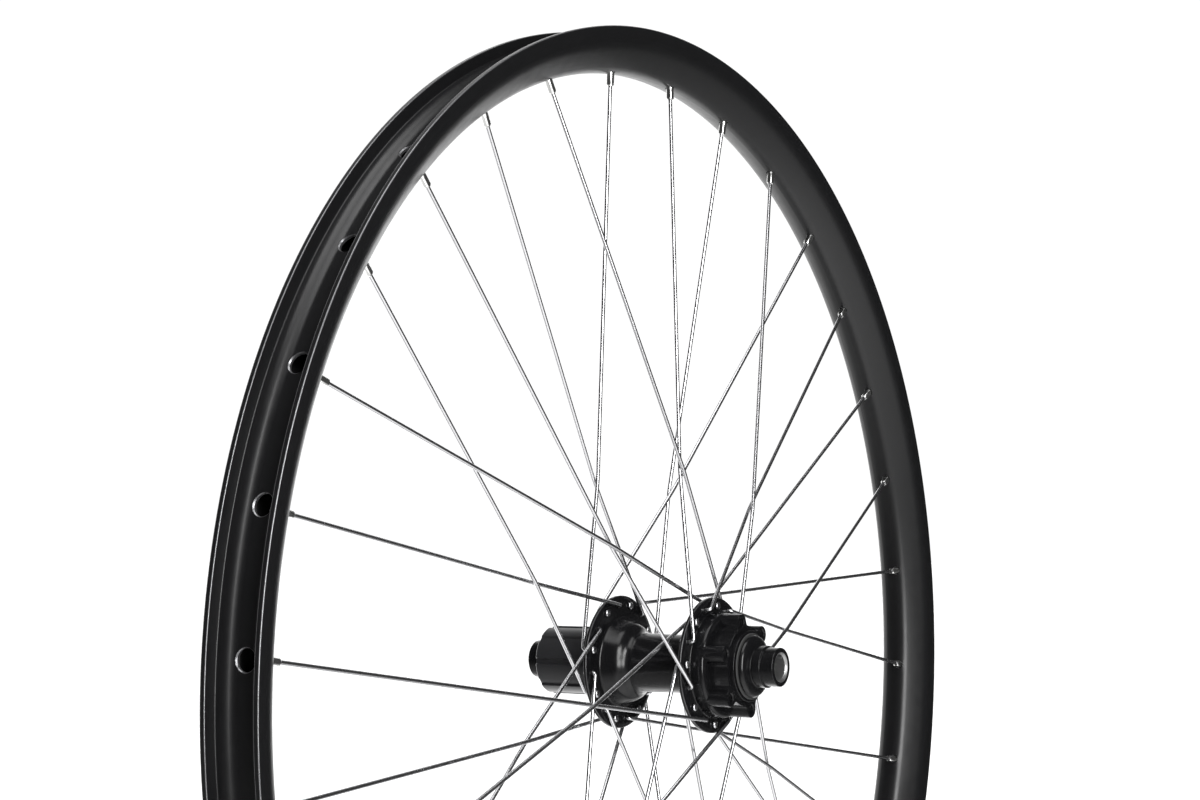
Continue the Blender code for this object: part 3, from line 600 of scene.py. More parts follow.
def bend(corner, arrive, leave, radius, steps):
    """Points round a bend between two directions that point away from its corner."""
    half = arrive.angle(leave) / 2
    back = radius / math.tan(half)
    centre = corner + (arrive + leave).normalized() * radius / math.sin(half)
    first = corner + arrive * back - centre
    sweep = math.pi - 2 * half
    axis = first.cross(corner + leave * back - centre).normalized()
    turns = [Matrix.Rotation(sweep * i / steps, 3, axis) for i in range(steps + 1)]
    return [centre + turn @ first for turn in turns]


def spoke_path(k):
    """Seat, direction at the rim, and path of spoke k, with the radius at each point."""
    faces, outward, sweep, elbow_outboard = spoke_layout(k)
    angle = FIRST_SPOKE + k * SPOKE_PITCH
    near = RIM_INNER_RADIUS * math.sin(SPOKE_PITCH)
    far = SPOKE_HOLE_CIRCLE * math.sin(SPOKE_SWEEP - SPOKE_PITCH)
    share = near / (near + far)
    if elbow_outboard:
        elbow_y = faces[1] + outward * ELBOW_STANDOFF_OUT
        head_y = faces[0] - outward * CLEAR
    else:
        elbow_y = faces[0] - outward * ELBOW_STANDOFF_IN
        head_y = faces[1] + outward * CLEAR
    seat = polar(RIM_INNER_RADIUS + SPOKE_BED / 2, angle)
    corner = polar(SPOKE_HOLE_CIRCLE, angle + sweep, elbow_y)
    cross = seat.lerp(corner, share)
    cross.y = cross_y(faces, outward, share, elbow_outboard)
    along = (cross - seat).normalized()
    through = AXIS * math.copysign(1, head_y - elbow_y)
    head = Vector((corner.x, head_y, corner.z))
    seat_top = seat - along * (SPOKE_BED / 2 + NIPPLE_SEAT_GAP)
    points = [seat_top + along * 0.002]
    onward = (corner - cross).normalized()
    points += bend(cross, -along, onward, *CROSS_BEND)
    points += bend(corner, -onward, through, ELBOW_RADIUS, ELBOW_STEPS)
    radii = [SPOKE_RADIUS] * len(points)
    for rise, share_of_wire in HEAD_PROFILE:
        points.append(head + through * rise)
        radii.append(SPOKE_RADIUS * share_of_wire)
    return seat_top, along, points, radii


def nipple_mesh():
    """One nipple about its own +Z: slotted round head, shank with wrench flats, and mouth."""
    upright = Matrix.Identity(3)
    top = -NIPPLE_HEAD_HEIGHT
    end = NIPPLE_LENGTH
    round_part = [
        (top, 0.0012), (top + 0.0002, 0.0019), (top + 0.0006, 0.0025),
        (top + 0.0012, NIPPLE_HEAD_RADIUS), (-0.0010, NIPPLE_HEAD_RADIUS), (-0.0005, 0.0026),
        (-0.0001, 0.0021), (0.0003, NIPPLE_RADIUS), (0.0040, NIPPLE_RADIUS),
    ]
    wrench_part = [(0.0046, NIPPLE_RADIUS), (end - 0.0008, NIPPLE_RADIUS)]
    mouth = [(end - 0.0003, 0.00160), (end, 0.00142), (end, 0.00125), (end - 0.0004, 0.00104)]
    rings = []
    for part, flat in ((round_part, None), (wrench_part, NIPPLE_FLAT), (mouth, None)):
        for run, radius in part:
            centre = Vector((0, 0, run))
            rings.append(circle_ring(centre, upright, radius, NIPPLE_SIDES, flat))
    obj = lofted("nipple", [rings], ["nipple_plate"])
    depth, half = NIPPLE_SLOT
    reach = 0.004
    corners = ((-reach, -half), (reach, -half), (reach, half), (-reach, half))
    slot = lofted("nipple_slot", [[
        [Vector((x, y, run)) for x, y in corners] for run in (-reach, top + depth)]],
        ["nipple_plate"])
    cut(obj, slot)
    mesh = obj.data
    bpy.data.objects.remove(obj, do_unlink=True)
    return mesh


def spokes():
    """The 32 laced spokes and their nipples. Every fourth spoke has the same shape."""
    nipple = nipple_mesh()
    pattern = []
    for k in range(SPOKE_PATTERN):
        seat, along, points, radii = spoke_path(k)
        name = "spoke_wire_%02d" % (k + 1)
        obj = lofted(name, [tube_rings(points, radii, WIRE_SIDES)], ["spoke_steel"])
        pattern.append((seat, along, obj))
    for k in range(SPOKE_COUNT):
        seat, along, first = pattern[k % SPOKE_PATTERN]
        turn = Matrix.Rotation(-(k - k % SPOKE_PATTERN) * SPOKE_PITCH, 4, "Y")
        number = "%02d" % (k + 1)
        if k < SPOKE_PATTERN:
            wire = first
        else:
            wire = bpy.data.objects.new("spoke_wire_" + number, first.data)
            bpy.context.scene.collection.objects.link(wire)
            wire.matrix_world = turn
        place(wire, "wheel", "spoke_steel", "spoke_" + number)
        sleeve = bpy.data.objects.new("spoke_nipple_" + number, nipple)
        bpy.context.scene.collection.objects.link(sleeve)
        lean = along.to_track_quat("Z", "Y").to_matrix().to_4x4()
        sleeve.matrix_world = turn @ Matrix.Translation(seat) @ lean
        place(sleeve, "wheel", "spoke_steel")


# ---- Hub shell ----

def hub_section():
    """Section of the shell: outside from the disc end, then back through the bore."""
    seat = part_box("hub_disc_outer_race")[1].z + SEAT_GAP
    disc_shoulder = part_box("hub_disc_outer_race")[0].y - SEAT_GAP
    drive_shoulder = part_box("hub_drive_outer_race")[1].y + SEAT_GAP
    disc_in, disc_out = DISC_FLANGE
    drive_in, drive_out = DRIVE_FLANGE
    edge, rise = FLANGE_TAPER
    # Stretches marked True take the hub's edge finish, a painted highlight.
    return soften([
        (SPIGOT_END, SPIGOT_RADIUS, 0.0004),
        (DRUM_END + 0.0003, SPIGOT_RADIUS, 0.0003),
        (DRUM_END, SPIGOT_RADIUS + 0.0004, 0.0003),
        (DRUM_END, DRUM_RADIUS, DRUM_CHAMFER),
        (disc_out, DRUM_RADIUS, 0.0010),
        (disc_out, FLANGE_RADIUS - rise, 0.0004),
        (disc_out - edge, FLANGE_RADIUS, 0.0004, True),
        (disc_in + edge, FLANGE_RADIUS, 0.0004, True),
        (disc_in, FLANGE_RADIUS - rise, 0.0004),
        (disc_in, BARREL_FLARE[1], 0.0030),
        (disc_in - BARREL_FLARE[0], BARREL_RADIUS, 0.0040),
        (*BARREL_WAIST, 0.0120),
        *BELL,
        (drive_in, BELL_FOOT_RADIUS, 0.0012),
        (drive_in, FLANGE_RADIUS - rise, 0.0004),
        (drive_in - edge, FLANGE_RADIUS, 0.0004, True),
        (drive_out + edge, FLANGE_RADIUS, 0.0004, True),
        (drive_out, FLANGE_RADIUS - rise, 0.0004),
        (drive_out, SKIRT_RADIUS, 0.0006),
        (HUB_DRIVE_END, SKIRT_RADIUS, 0.0004, True),
        (HUB_DRIVE_END, POCKET_RADIUS, 0.0004),
        (POCKET_BOTTOM, POCKET_RADIUS, 0.0002),
        (POCKET_BOTTOM, seat, 0.0004),
        (drive_shoulder, seat, 0.0002),
        (drive_shoulder, BARREL_BORE, 0.0005),
        (disc_shoulder, BARREL_BORE, 0.0005),
        (disc_shoulder, seat, 0.0002),
        (SPIGOT_END, seat, 0.0004),
    ], 4)


def arc(centre, radius, first, last, steps):
    """Points on an arc between two angles in degrees."""
    turns = [math.radians(first + (last - first) * i / steps) for i in range(steps + 1)]
    return [centre + radius * Vector((math.cos(turn), math.sin(turn))) for turn in turns]


def rotor_outline():
    """The six-lobed outline of the rotor mount, with filleted roots."""
    side = LUG_HALF_WIDTH + LUG_FILLET
    root = math.asin(side / (WEB_RADIUS + LUG_FILLET))
    reach = (WEB_RADIUS + LUG_FILLET) * math.cos(root)
    tip = ROTOR_BOLT_CIRCLE - LUG_SET_BACK
    root_degrees = math.degrees(root)
    lobe = arc(Vector((reach, -side)), LUG_FILLET, 180 - root_degrees, 90, 5)
    lobe += arc(Vector((tip, 0)), LUG_HALF_WIDTH, -90, 90, 16)
    lobe += arc(Vector((reach, side)), LUG_FILLET, 270, 180 + root_degrees, 5)
    web = 360 / ROTOR_LUGS - root_degrees
    lobe += arc(Vector((0, 0)), WEB_RADIUS, root_degrees, web, 6)[1:-1]
    points = []
    for lug in range(ROTOR_LUGS):
        middle = ROTOR_LUG_ANGLE + lug * 2 * math.pi / ROTOR_LUGS
        points += turned_outline(lobe, middle)
    return points


def turned_outline(points, angle):
    """An outline turned about the axle."""
    cosine = math.cos(angle)
    sine = math.sin(angle)
    return [Vector((cosine * x - sine * z, sine * x + cosine * z)) for x, z in points]


def circle(radius, sides):
    """A circular outline."""
    return arc(Vector((0, 0)), radius, 0, 360 * (sides - 1) / sides, sides - 1)


def thread_profile(depth):
    """A tapped hole's profile from its bottom: thread ridges, then a countersunk mouth."""
    profile = [(-depth, THREAD_MINOR)]
    turns = int((depth - 0.001) / THREAD_PITCH)
    for i in range(turns):
        run = -depth + 0.0003 + i * THREAD_PITCH
        profile += [(run, THREAD_MINOR), (run + 0.4 * THREAD_PITCH, THREAD_MAJOR),
                    (run + 0.5 * THREAD_PITCH, THREAD_MAJOR),
                    (run + 0.9 * THREAD_PITCH, THREAD_MINOR)]
    profile += [(-0.0005, THREAD_MINOR), (0.0, THREAD_MAJOR + 0.00015),
                (0.001, THREAD_MAJOR + 0.00115)]
    return profile


def hub_shell():
    """The shell: spoke flanges, waisted barrel, bell, and lobed and tapped rotor mount."""
    obj = turned("hub_shell_body", [hub_section()], ["hub_black", "hub_painted_highlight"])
    mount = plate(
        "rotor_mount", [rotor_outline(), circle(ROTOR_BORE, FINE_STEPS)],
        ROTOR_FACE, DRUM_END - MOUNT_SINK, ["hub_black"], MOUNT_BEVEL)
    cut(obj, mount, "UNION")
    bores = []
    for k in range(SPOKE_COUNT):
        faces, outward, sweep, _ = spoke_layout(k)
        angle = FIRST_SPOKE + k * SPOKE_PITCH + sweep
        width = abs(faces[1] - faces[0])
        wide = SPOKE_HOLE_RADIUS + 2 * HOLE_MOUTH
        profile = [(-2 * HOLE_MOUTH, wide), (HOLE_MOUTH, SPOKE_HOLE_RADIUS),
                   (width - HOLE_MOUTH, SPOKE_HOLE_RADIUS), (width + 2 * HOLE_MOUTH, wide)]
        bores.append(spun(polar(SPOKE_HOLE_CIRCLE, angle, faces[0]), AXIS * outward, profile, 24))
    # The spoke holes take the hub's edge finish, a painted highlight.
    cut(obj, lofted("hub_drillings", bores, ["hub_painted_highlight"]))
    taps = []
    for lug in range(ROTOR_LUGS):
        angle = ROTOR_LUG_ANGLE + lug * 2 * math.pi / ROTOR_LUGS
        taps.append(spun(polar(ROTOR_BOLT_CIRCLE, angle, ROTOR_FACE), AXIS,
                         thread_profile(ROTOR_TAP_DEPTH), 32))
    cut(obj, lofted("rotor_taps", taps, ["hub_black"]))
    return settle(obj, "wheel", "hub_black", "hub_shell")


# ---- Axle and end caps ----

def axle():
    """The hollow axle, with a shoulder between the two hub bearings."""
    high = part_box("hub_disc_inner_race")[0].y - SEAT_GAP
    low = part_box("hub_drive_inner_race")[1].y + SEAT_GAP
    loop = soften([
        (AXLE_END, AXLE_RADIUS, 0.0005), (high, AXLE_RADIUS, 0.0003),
        (high, AXLE_SHOULDER, 0.0003), (low, AXLE_SHOULDER, 0.0003), (low, AXLE_RADIUS, 0.0003),
        (-AXLE_END, AXLE_RADIUS, 0.0005), (-AXLE_END, AXLE_BORE, 0.0003),
        (AXLE_END, AXLE_BORE, 0.0003)])
    obj = turned("axle_tube", [loop], ["bare_aluminium"])
    return settle(obj, "axle", "bare_aluminium", "axle")


def cap_bore(face, nose, side):
    """A cap's bore: its socket for the axle, a shoulder and a countersunk mouth."""
    socket = AXLE_RADIUS + CLEAR
    shoulder = side * (AXLE_END + CLEAR)
    return [
        (nose, socket, 0.0003), (shoulder, socket), (shoulder, AXLE_BORE, 0.0002),
        (face - side * CAP_MOUTH, AXLE_BORE, 0.0002), (face, AXLE_BORE + CAP_MOUTH, 0.0003),
    ]


def bore_marked(loop):
    """A cap's section with the stretches of its bore marked for the second finish."""
    limit = AXLE_BORE + CAP_MOUTH + 0.00005
    return [(y, radius, radius < limit) for y, radius, _ in loop]


def end_cap_disc():
    """The disc side's end cap: dropout spigot, collar and domed dust shield."""
    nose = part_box("end_cap_disc")[0].y
    collar_in, collar_out, collar = COLLAR
    outside = [
        (CAP_FACE, CAP_RADIUS, 0.0006), (collar_out, CAP_RADIUS, 0.0002),
        (collar_out, collar, 0.0005), (collar_in, collar, 0.0004), *DOME,
        (DOME[-1][0], CAP_SLEEVE_RADIUS, 0.0003), (nose, CAP_SLEEVE_RADIUS, 0.0003),
    ]
    loop = bore_marked(soften(outside + cap_bore(CAP_FACE, nose, 1), 4))
    obj = turned("end_cap_disc_turned", [loop], ["hub_black", "bore_grey"])
    return settle(obj, "axle", "hub_black", "end_cap_disc")


def end_cap_drive():
    """The drive side's end cap, whose sleeve reaches in to the freehub's outer bearing."""
    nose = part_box("end_cap_drive")[1].y
    outside = [
        (nose, CAP_SLEEVE_RADIUS, 0.0003), (DRIVE_SHIELD[0][0], CAP_SLEEVE_RADIUS, 0.0003),
        *DRIVE_SHIELD, (CAP_THROAT, CAP_RADIUS, 0.0006), (-CAP_FACE, CAP_RADIUS, 0.0006),
    ]
    inside = list(reversed(cap_bore(-CAP_FACE, nose, -1)))
    loop = bore_marked(soften(outside + inside, 4))
    obj = turned("end_cap_drive_turned", [loop], ["hub_black", "bore_grey"])
    return settle(obj, "axle", "hub_black", "end_cap_drive")


def seal_ring(node, name, body, lip):
    """A rubber ring of a CAD node's size, with a raised lip and rounded edges."""
    low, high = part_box(node)
    outer = high.z
    width = outer - lip
    middle = (low.y + high.y) / 2
    loop = [
        (high.y, outer), (low.y, outer), (low.y, lip), (middle, lip - 0.0003), (high.y, lip),
        (high.y, lip + 0.35 * width), (high.y - 0.0002, lip + 0.45 * width),
        (high.y, lip + 0.55 * width)]
    loop = soften([(y, radius, 0.0002) for y, radius in loop])
    obj = turned(name, [loop], ["seal_rubber"])
    return settle(obj, body, "seal_rubber", node)


def spacer(node, name):
    """A bare tube between two bearings, relieved along its middle."""
    low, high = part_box(node)
    outer = high.z
    bore = AXLE_RADIUS + CLEAR
    land = min(0.002, 0.2 * (high.y - low.y))
    loop = soften([
        (high.y, outer, 0.0003), (high.y - land, outer, 0.0002),
        (high.y - land, outer - 0.0003, 0.0002), (low.y + land, outer - 0.0003, 0.0002),
        (low.y + land, outer, 0.0002), (low.y, outer, 0.0003),
        (low.y, bore, 0.0002), (high.y, bore, 0.0002)])
    obj = turned(name, [loop], ["bare_aluminium"])
    return settle(obj, "axle", "bare_aluminium", node)


# ---- Bearings ----

def raceway(y, radius, ball, depth, side):
    """Section points across a ball track, from +Y to -Y times side."""
    half = math.sqrt(ball ** 2 - (ball - depth) ** 2)
    points = []
    for i in range(TRACK_STEPS + 1):
        across = half * (1 - 2 * i / TRACK_STEPS)
        sink = math.sqrt(max(ball ** 2 - across ** 2, 0)) - (ball - depth)
        points.append((y + side * across, radius, sink))
    return points


def bearing(name, outer_body, cage_body):
    """A ball bearing: two grooved races, eleven balls and their pocketed cage."""
    low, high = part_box(name + "_outer_race")
    outer = high.z
    bore = AXLE_RADIUS + CLEAR
    centre = (low.y + high.y) / 2
    half = (high.y - low.y) / 2
    race = RACE_SHARE * (outer - bore)
    outer_track = outer - race
    inner_track = bore + race
    depth = TRACK_SINK * race
    ball = (outer_track - inner_track) / 2 + depth - BALL_PLAY
    track = (outer_track + inner_track) / 2
    curve = raceway(centre, outer_track, ball, depth, -1)
    groove = [(y, radius + sink) for y, radius, sink in curve]
    loop = soften([(high.y, outer, 0.0004), (low.y, outer, 0.0004), (low.y, outer_track, 0.0002)]
                  + groove + [(high.y, outer_track, 0.0002)])
    obj = turned(name + "_outer_ring", [loop], ["race_steel"])
    settle(obj, outer_body, "race_steel", name + "_outer_race")
    curve = raceway(centre, inner_track, ball, depth, 1)
    groove = [(y, radius - sink) for y, radius, sink in curve]
    loop = soften([(high.y, inner_track, 0.0002)] + groove
                  + [(low.y, inner_track, 0.0002), (low.y, bore, 0.0003), (high.y, bore, 0.0003)])
    obj = turned(name + "_inner_ring", [loop], ["race_steel"])
    settle(obj, "axle", "race_steel", name + "_inner_race")
    latitudes = [math.pi * (i + 0.5) / BALL_ROWS for i in range(BALL_ROWS)]
    profile = [(-ball * math.cos(turn), ball * math.sin(turn)) for turn in latitudes]
    places = [polar(track, 2 * math.pi * i / BALL_COUNT, centre) for i in range(BALL_COUNT)]
    balls = [spun(spot, AXIS, profile, BALL_SIDES) for spot in places]
    obj = lofted(name + "_ball_set", balls, ["ball_steel"])
    place(obj, cage_body, "ball_steel", name + "_balls")
    wall = CAGE_WALL * (outer_track - inner_track) / 2
    width = min(half - CLEAR, ball * CAGE_WIDTH)
    loop = soften([(centre + width, track + wall, 0.0002), (centre - width, track + wall, 0.0002),
                   (centre - width, track - wall, 0.0002), (centre + width, track - wall, 0.0002)])
    cage = turned(name + "_cage", [loop], ["cage_steel"], CAGE_STEPS)
    pocket = CAGE_POCKET * ball
    profile = [(-pocket * math.cos(turn), pocket * math.sin(turn)) for turn in latitudes]
    pockets = [spun(spot, AXIS, profile, BALL_SIDES) for spot in places]
    cut(cage, lofted(name + "_pockets", pockets, ["cage_steel"]))
    settle(cage, cage_body, "ball_steel")


# ---- Freehub ----

def splined(y, radius, angle):
    """The carrier's outside, sunk along its nine grooves."""
    if y > SPLINE_START - 0.0004 or radius < SPLINE_RADIUS - SPLINE_DEPTH - 0.0001:
        return radius
    pitch = 360 / SPLINE_COUNT
    turn = math.degrees(angle) % 360
    groove = round(turn / pitch) % SPLINE_COUNT
    offset = abs((turn - groove * pitch + 180) % 360 - 180)
    half = SPLINE_HALF_WIDTHS[0] if groove == 0 else SPLINE_HALF_WIDTHS[1]
    share = min(max(half + 0.5 - offset, 0), 1)
    return min(radius, radius - share * (radius - SPLINE_RADIUS + SPLINE_DEPTH))


def pocket_outline():
    """The pawl's pocket, deep enough for the folded pawl and open at the snout's outside."""
    pivot = PAWL_PIVOT_RADIUS * Vector((math.cos(PAWL_SPAN), math.sin(PAWL_SPAN)))
    heel = PAWL_HEEL + CLEAR
    span = math.degrees(PAWL_SPAN)
    points = arc(pivot, heel, span + 30, span + 200, 14)
    for radius, degrees in PAWL_POCKET:
        turn = math.radians(degrees)
        points.append(radius * Vector((math.cos(turn), math.sin(turn))))
    return points


def lockring_thread(first, last):
    """Corners of the lockring thread's ridges in the carrier's outer bore."""
    pitch = LOCKRING_PITCH
    root = LOCKRING_BORE + LOCKRING_THREAD
    corners = []
    for i in range(int((first - last) / pitch)):
        y = first - i * pitch
        corners += [(y - 0.1 * pitch, LOCKRING_BORE), (y - 0.45 * pitch, root),
                    (y - 0.6 * pitch, root), (y - 0.95 * pitch, LOCKRING_BORE)]
    return corners


def freehub_body():
    """The splined cassette carrier with its pawl snout, bearing seats and lockring thread."""
    inner_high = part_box("freehub_inner_outer_race")[1]
    outer_low, outer_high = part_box("freehub_outer_outer_race")
    inner_seat = inner_high.z + SEAT_GAP
    outer_seat = outer_high.z + SEAT_GAP
    inner_step = inner_high.y + SEAT_GAP
    outer_step = outer_high.y + SEAT_GAP
    mouth = outer_low.y - CLEAR
    thread = list(reversed(lockring_thread(mouth - 0.0004, FREEHUB_END + 0.0008)))
    corners = [
        (SNOUT_END, SNOUT_RADIUS, 0.0004), (SNOUT_START, SNOUT_RADIUS, 0.0002),
        (SNOUT_START, SHOULDER_RADIUS, 0.0003), (SPLINE_START, SHOULDER_RADIUS, 0.0003),
        (SPLINE_START, SPLINE_RADIUS, 0.0001), (SPLINE_START - 0.0003, SPLINE_RADIUS),
        (SPLINE_START - 0.0005, SPLINE_RADIUS), (FREEHUB_END + 0.0006, SPLINE_RADIUS, 0.0002),
        (FREEHUB_END, SPLINE_RADIUS - 0.0005, 0.0002, True), (FREEHUB_END, LOCKRING_BORE + 0.0005),
        (FREEHUB_END + 0.0005, LOCKRING_BORE)] + thread + [
        (mouth, LOCKRING_BORE, 0.0002), (mouth, outer_seat, 0.0003),
        (outer_step, outer_seat, 0.0002), (outer_step, inner_seat, 0.0004),
        (inner_step, inner_seat, 0.0002), (inner_step, SNOUT_BORE, 0.0003),
        (SNOUT_END, SNOUT_BORE, 0.0004),
    ]
    # The carrier's end corner, marked True above, takes the hub's edge finish, a painted
    # highlight.
    obj = turned("freehub_carrier", [soften(corners)], ["freehub_grey", "hub_painted_highlight"],
                 FREEHUB_STEPS, math.radians(0.5), splined)
    for i in range(PAWL_COUNT):
        outline = turned_outline(pocket_outline(), PAWL_ANGLE + 2 * math.pi * i / PAWL_COUNT)
        cut(obj, plate("pawl_pocket", [outline], PAWL_FACES[0] + CLEAR,
                       PAWL_FACES[1] - CLEAR, ["freehub_grey"]))
    cut(obj, spring_groove(GROOVE_REACH[0]))
    return settle(obj, "freehub", "freehub_grey", "freehub_body")


def spring_groove(outer):
    """A cutter for the spring's groove round the snout and pawls."""
    half, floor = SPRING_GROOVE
    loop = soften([(SPRING_PLACE + half, outer), (SPRING_PLACE - half, outer),
                   (SPRING_PLACE - half, floor, 0.0003), (SPRING_PLACE + half, floor, 0.0003)])
    return turned("spring_groove", [loop], ["freehub_grey"])


def pawl_outline():
    """A pawl's outline: its tooth face lies at angle 0 and its pivot at PAWL_SPAN."""
    pivot = PAWL_PIVOT_RADIUS * Vector((math.cos(PAWL_SPAN), math.sin(PAWL_SPAN)))
    span = math.degrees(PAWL_SPAN)
    points = arc(pivot, PAWL_HEEL, span - 10, span + 200, 20)
    side = Vector((math.cos(math.radians(1.0)), math.sin(math.radians(1.0))))
    points.append((PAWL_TIP_RADIUS - 0.0026) * side)
    points.append(PAWL_TIP_RADIUS * side)
    arm = PAWL_SPAN + math.pi / 2
    points.append(points[0] - Vector((math.cos(arm), math.sin(arm))) * 0.0010)
    return points


def pawls():
    """Three pawls, notched for the ring spring where it crosses them raised, then folded."""
    for i in range(PAWL_COUNT):
        angle = PAWL_ANGLE + 2 * math.pi * i / PAWL_COUNT
        pivot = Matrix.Translation(polar(PAWL_PIVOT_RADIUS, angle + PAWL_SPAN))
        number = "%d" % (i + 1)
        obj = plate("pawl_forged_" + number, [turned_outline(pawl_outline(), angle)],
                    PAWL_FACES[0], PAWL_FACES[1], ["tool_steel"], 0.00012)
        cut(obj, spring_groove(GROOVE_REACH[1]))
        obj.data.materials.clear()
        obj.data.materials.append(FINISHES["tool_steel"])
        obj.data.transform(pivot @ Matrix.Rotation(PAWL_FOLD, 4, "Y") @ pivot.inverted())
        settle(obj, "pawl_" + number, "tool_steel", "pawl_" + number)


def pawl_spring():
    """The open ring spring that lifts the pawls."""
    points = []
    first, sweep = SPRING_SWEEP
    for i in range(121):
        angle = PAWL_ANGLE + math.radians(first + sweep * i / 120)
        points.append(polar(SPRING_RADIUS, angle, SPRING_PLACE))
    rings = tube_rings(points, [SPRING_WIRE] * len(points), 12)
    obj = lofted("pawl_ring_spring", [rings], ["spring_steel"])
    return settle(obj, "freehub", "spoke_steel", "pawl_spring")


def ratchet_ring():
    """The toothed drive ring pressed in the shell, with hollow-ground tooth backs."""
    pitch = 2 * math.pi / RATCHET_TEETH
    teeth = []
    for i in range(RATCHET_TEETH):
        angle = PAWL_ANGLE - RATCHET_LAG + i * pitch
        teeth.append(RATCHET_TIP * Vector((math.cos(angle), math.sin(angle))))
        for share in (0.02, 0.15, TOOTH_FLAT, 0.50, 0.75):
            rise = 1 - max(share - TOOTH_FLAT, 0) / (1 - TOOTH_FLAT)
            radius = RATCHET_TIP + (RATCHET_ROOT - RATCHET_TIP) * rise
            turn = angle + share * pitch
            teeth.append(radius * Vector((math.cos(turn), math.sin(turn))))
    low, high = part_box("ratchet_ring")
    obj = plate("ratchet_toothed_ring", [circle(RATCHET_RADIUS, FINE_STEPS), teeth],
                high.y, low.y, ["tool_steel"], 0.0001)
    return settle(obj, "wheel", "tool_steel", "ratchet_ring")


# ---- Studio ----

# Each lamp: azimuth, rise, distance, width, height and radiance
LAMPS = (
    ("strip", 142, 14, 2.0, 0.70, 1.70, 22.0),
    ("overhead", 110, 72, 2.2, 1.60, 1.60, 5.0),
)
# Each glow: azimuth and rise of its middle, angles where it is full and gone, radiance
GLOWS = (
    (325, -4, 34, 62, 1.8),
    (340, -82, 34, 78, 0.90),
    (160, -52, 20, 48, 1.60),
)
ROOM_LIGHT = 0.05
FLOOR_LIGHT = 3.4
FLOOR_REACH = 30
FLOOR_WHITE = (0.92, 0.92, 0.92, 1)
BACKDROP_LIGHT = 1.05
CAMERA_PLACE = (0.9348, 0.5545, 0.0632)
CAMERA_AIM = (122.147, -3.656)  # azimuth and rise of its back
CAMERA_LENS = 64.35


def studio():
    """A plain white floor, a white backdrop behind the wheel and soft lamps."""
    far = FLOOR_REACH
    corners = [(-far, -far, 0), (far, -far, 0), (far, far, 0), (-far, far, 0)]
    mesh = mesh_of("floor", corners, [(0, 1, 2, 3)])
    floor = bpy.data.objects.new("floor", mesh)
    bpy.context.scene.collection.objects.link(floor)
    floor.location.z = -RIM_RADIUS - 0.0002
    floor.visible_glossy = False
    white = bpy.data.materials.new("floor_white")
    white.use_nodes = True
    shader = white.node_tree.nodes["Principled BSDF"]
    shader.inputs["Base Color"].default_value = FLOOR_WHITE
    shader.inputs["Roughness"].default_value = 1.0
    shader.inputs["Specular IOR Level"].default_value = 0.0
    mesh.materials.append(white)
    surroundings()
    sun = bpy.data.lights.new("floor_light", "SUN")
    sun.energy = FLOOR_LIGHT
    sun.angle = math.radians(60)
    overhead = bpy.data.objects.new("floor_light", sun)
    overhead.visible_glossy = False
    bpy.context.scene.collection.objects.link(overhead)
    for name, azimuth, rise, distance, width, height, radiance in LAMPS:
        lamp = bpy.data.lights.new(name, "AREA")
        lamp.shape = "RECTANGLE"
        lamp.size = width
        lamp.size_y = height
        lamp.energy = radiance * math.pi * width * height
        obj = bpy.data.objects.new(name, lamp)
        bpy.context.scene.collection.objects.link(obj)
        back = direction(azimuth, rise)
        obj.location = back * distance
        obj.rotation_euler = back.to_track_quat("Z", "Y").to_euler()


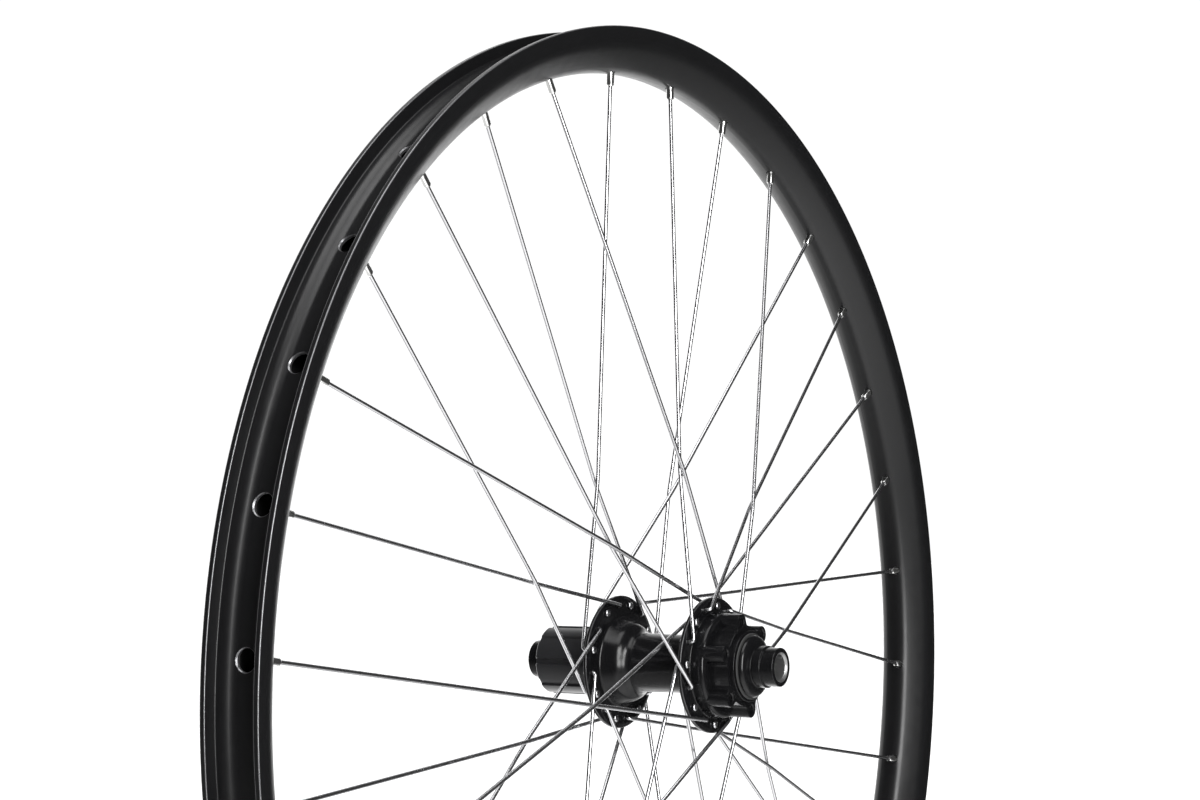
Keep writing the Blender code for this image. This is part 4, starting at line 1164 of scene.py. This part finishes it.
def surroundings():
    """White to look at; as light, a dim room with a few wide soft glows."""
    world = bpy.data.worlds.new("studio")
    bpy.context.scene.world = world
    world.use_nodes = True
    tree = world.node_tree
    tree.nodes.clear()
    seen = add_node(
        tree, "ShaderNodeBackground", {"Color": (1, 1, 1, 1), "Strength": BACKDROP_LIGHT})
    around = add_node(tree, "ShaderNodeTexCoord").outputs["Generated"]
    total = ROOM_LIGHT
    for azimuth, rise, full, faded, radiance in GLOWS:
        facing = add_node(
            tree, "ShaderNodeVectorMath", {0: around, 1: direction(azimuth, rise)},
            operation="DOT_PRODUCT")
        glow = add_node(
            tree, "ShaderNodeMapRange",
            {"Value": facing.outputs["Value"], "From Min": math.cos(math.radians(faded)),
             "From Max": math.cos(math.radians(full)), "To Min": 0.0, "To Max": radiance},
            interpolation_type="SMOOTHSTEP")
        total = add_node(
            tree, "ShaderNodeMath", {0: total, 1: glow.outputs["Result"]}).outputs["Value"]
    lit = add_node(tree, "ShaderNodeBackground", {"Color": (1, 1, 1, 1), "Strength": total})
    ray = add_node(tree, "ShaderNodeLightPath")
    both = add_node(tree, "ShaderNodeMixShader",
                    {0: ray.outputs["Is Camera Ray"], 1: lit.outputs[0], 2: seen.outputs[0]})
    add_node(tree, "ShaderNodeOutputWorld", {"Surface": both.outputs[0]})


def direction(azimuth, rise):
    """A unit direction: azimuth 0 is -Y and 90 is +X, and rise is above the horizon."""
    turn = math.radians(azimuth)
    up = math.radians(rise)
    return Vector((math.sin(turn) * math.cos(up), -math.cos(turn) * math.cos(up), math.sin(up)))


def camera():
    """The camera: close to the wheel, level with its hub, on the disc-brake side."""
    data = bpy.data.cameras.new("camera")
    data.sensor_width = 36.0
    data.lens = CAMERA_LENS
    data.clip_start = 0.01
    data.clip_end = 200
    obj = bpy.data.objects.new("camera", data)
    bpy.context.scene.collection.objects.link(obj)
    obj.location = CAMERA_PLACE
    obj.rotation_euler = direction(*CAMERA_AIM).to_track_quat("Z", "Y").to_euler()
    bpy.context.scene.camera = obj


# ---- The wheel ----

def build():
    """Every piece, on its body."""
    rim()
    spokes()
    hub_shell()
    axle()
    end_cap_disc()
    end_cap_drive()
    seal_ring("dust_cover_disc", "dust_cover", "wheel", DUST_COVER_LIP)
    seal_ring("freehub_seal", "freehub_seal_ring", "freehub", FREEHUB_SEAL_LIP)
    spacer("axle_spacer", "axle_spacer_tube")
    spacer("freehub_spacer", "freehub_spacer_tube")
    bearing("hub_disc", "wheel", "hub_disc_cage")
    bearing("hub_drive", "wheel", "hub_drive_cage")
    bearing("freehub_inner", "freehub", "freehub_inner_cage")
    bearing("freehub_outer", "freehub", "freehub_outer_cage")
    freehub_body()
    pawls()
    pawl_spring()
    ratchet_ring()


build()
studio()
camera()
bpy.context.scene.view_settings.view_transform = "Standard"
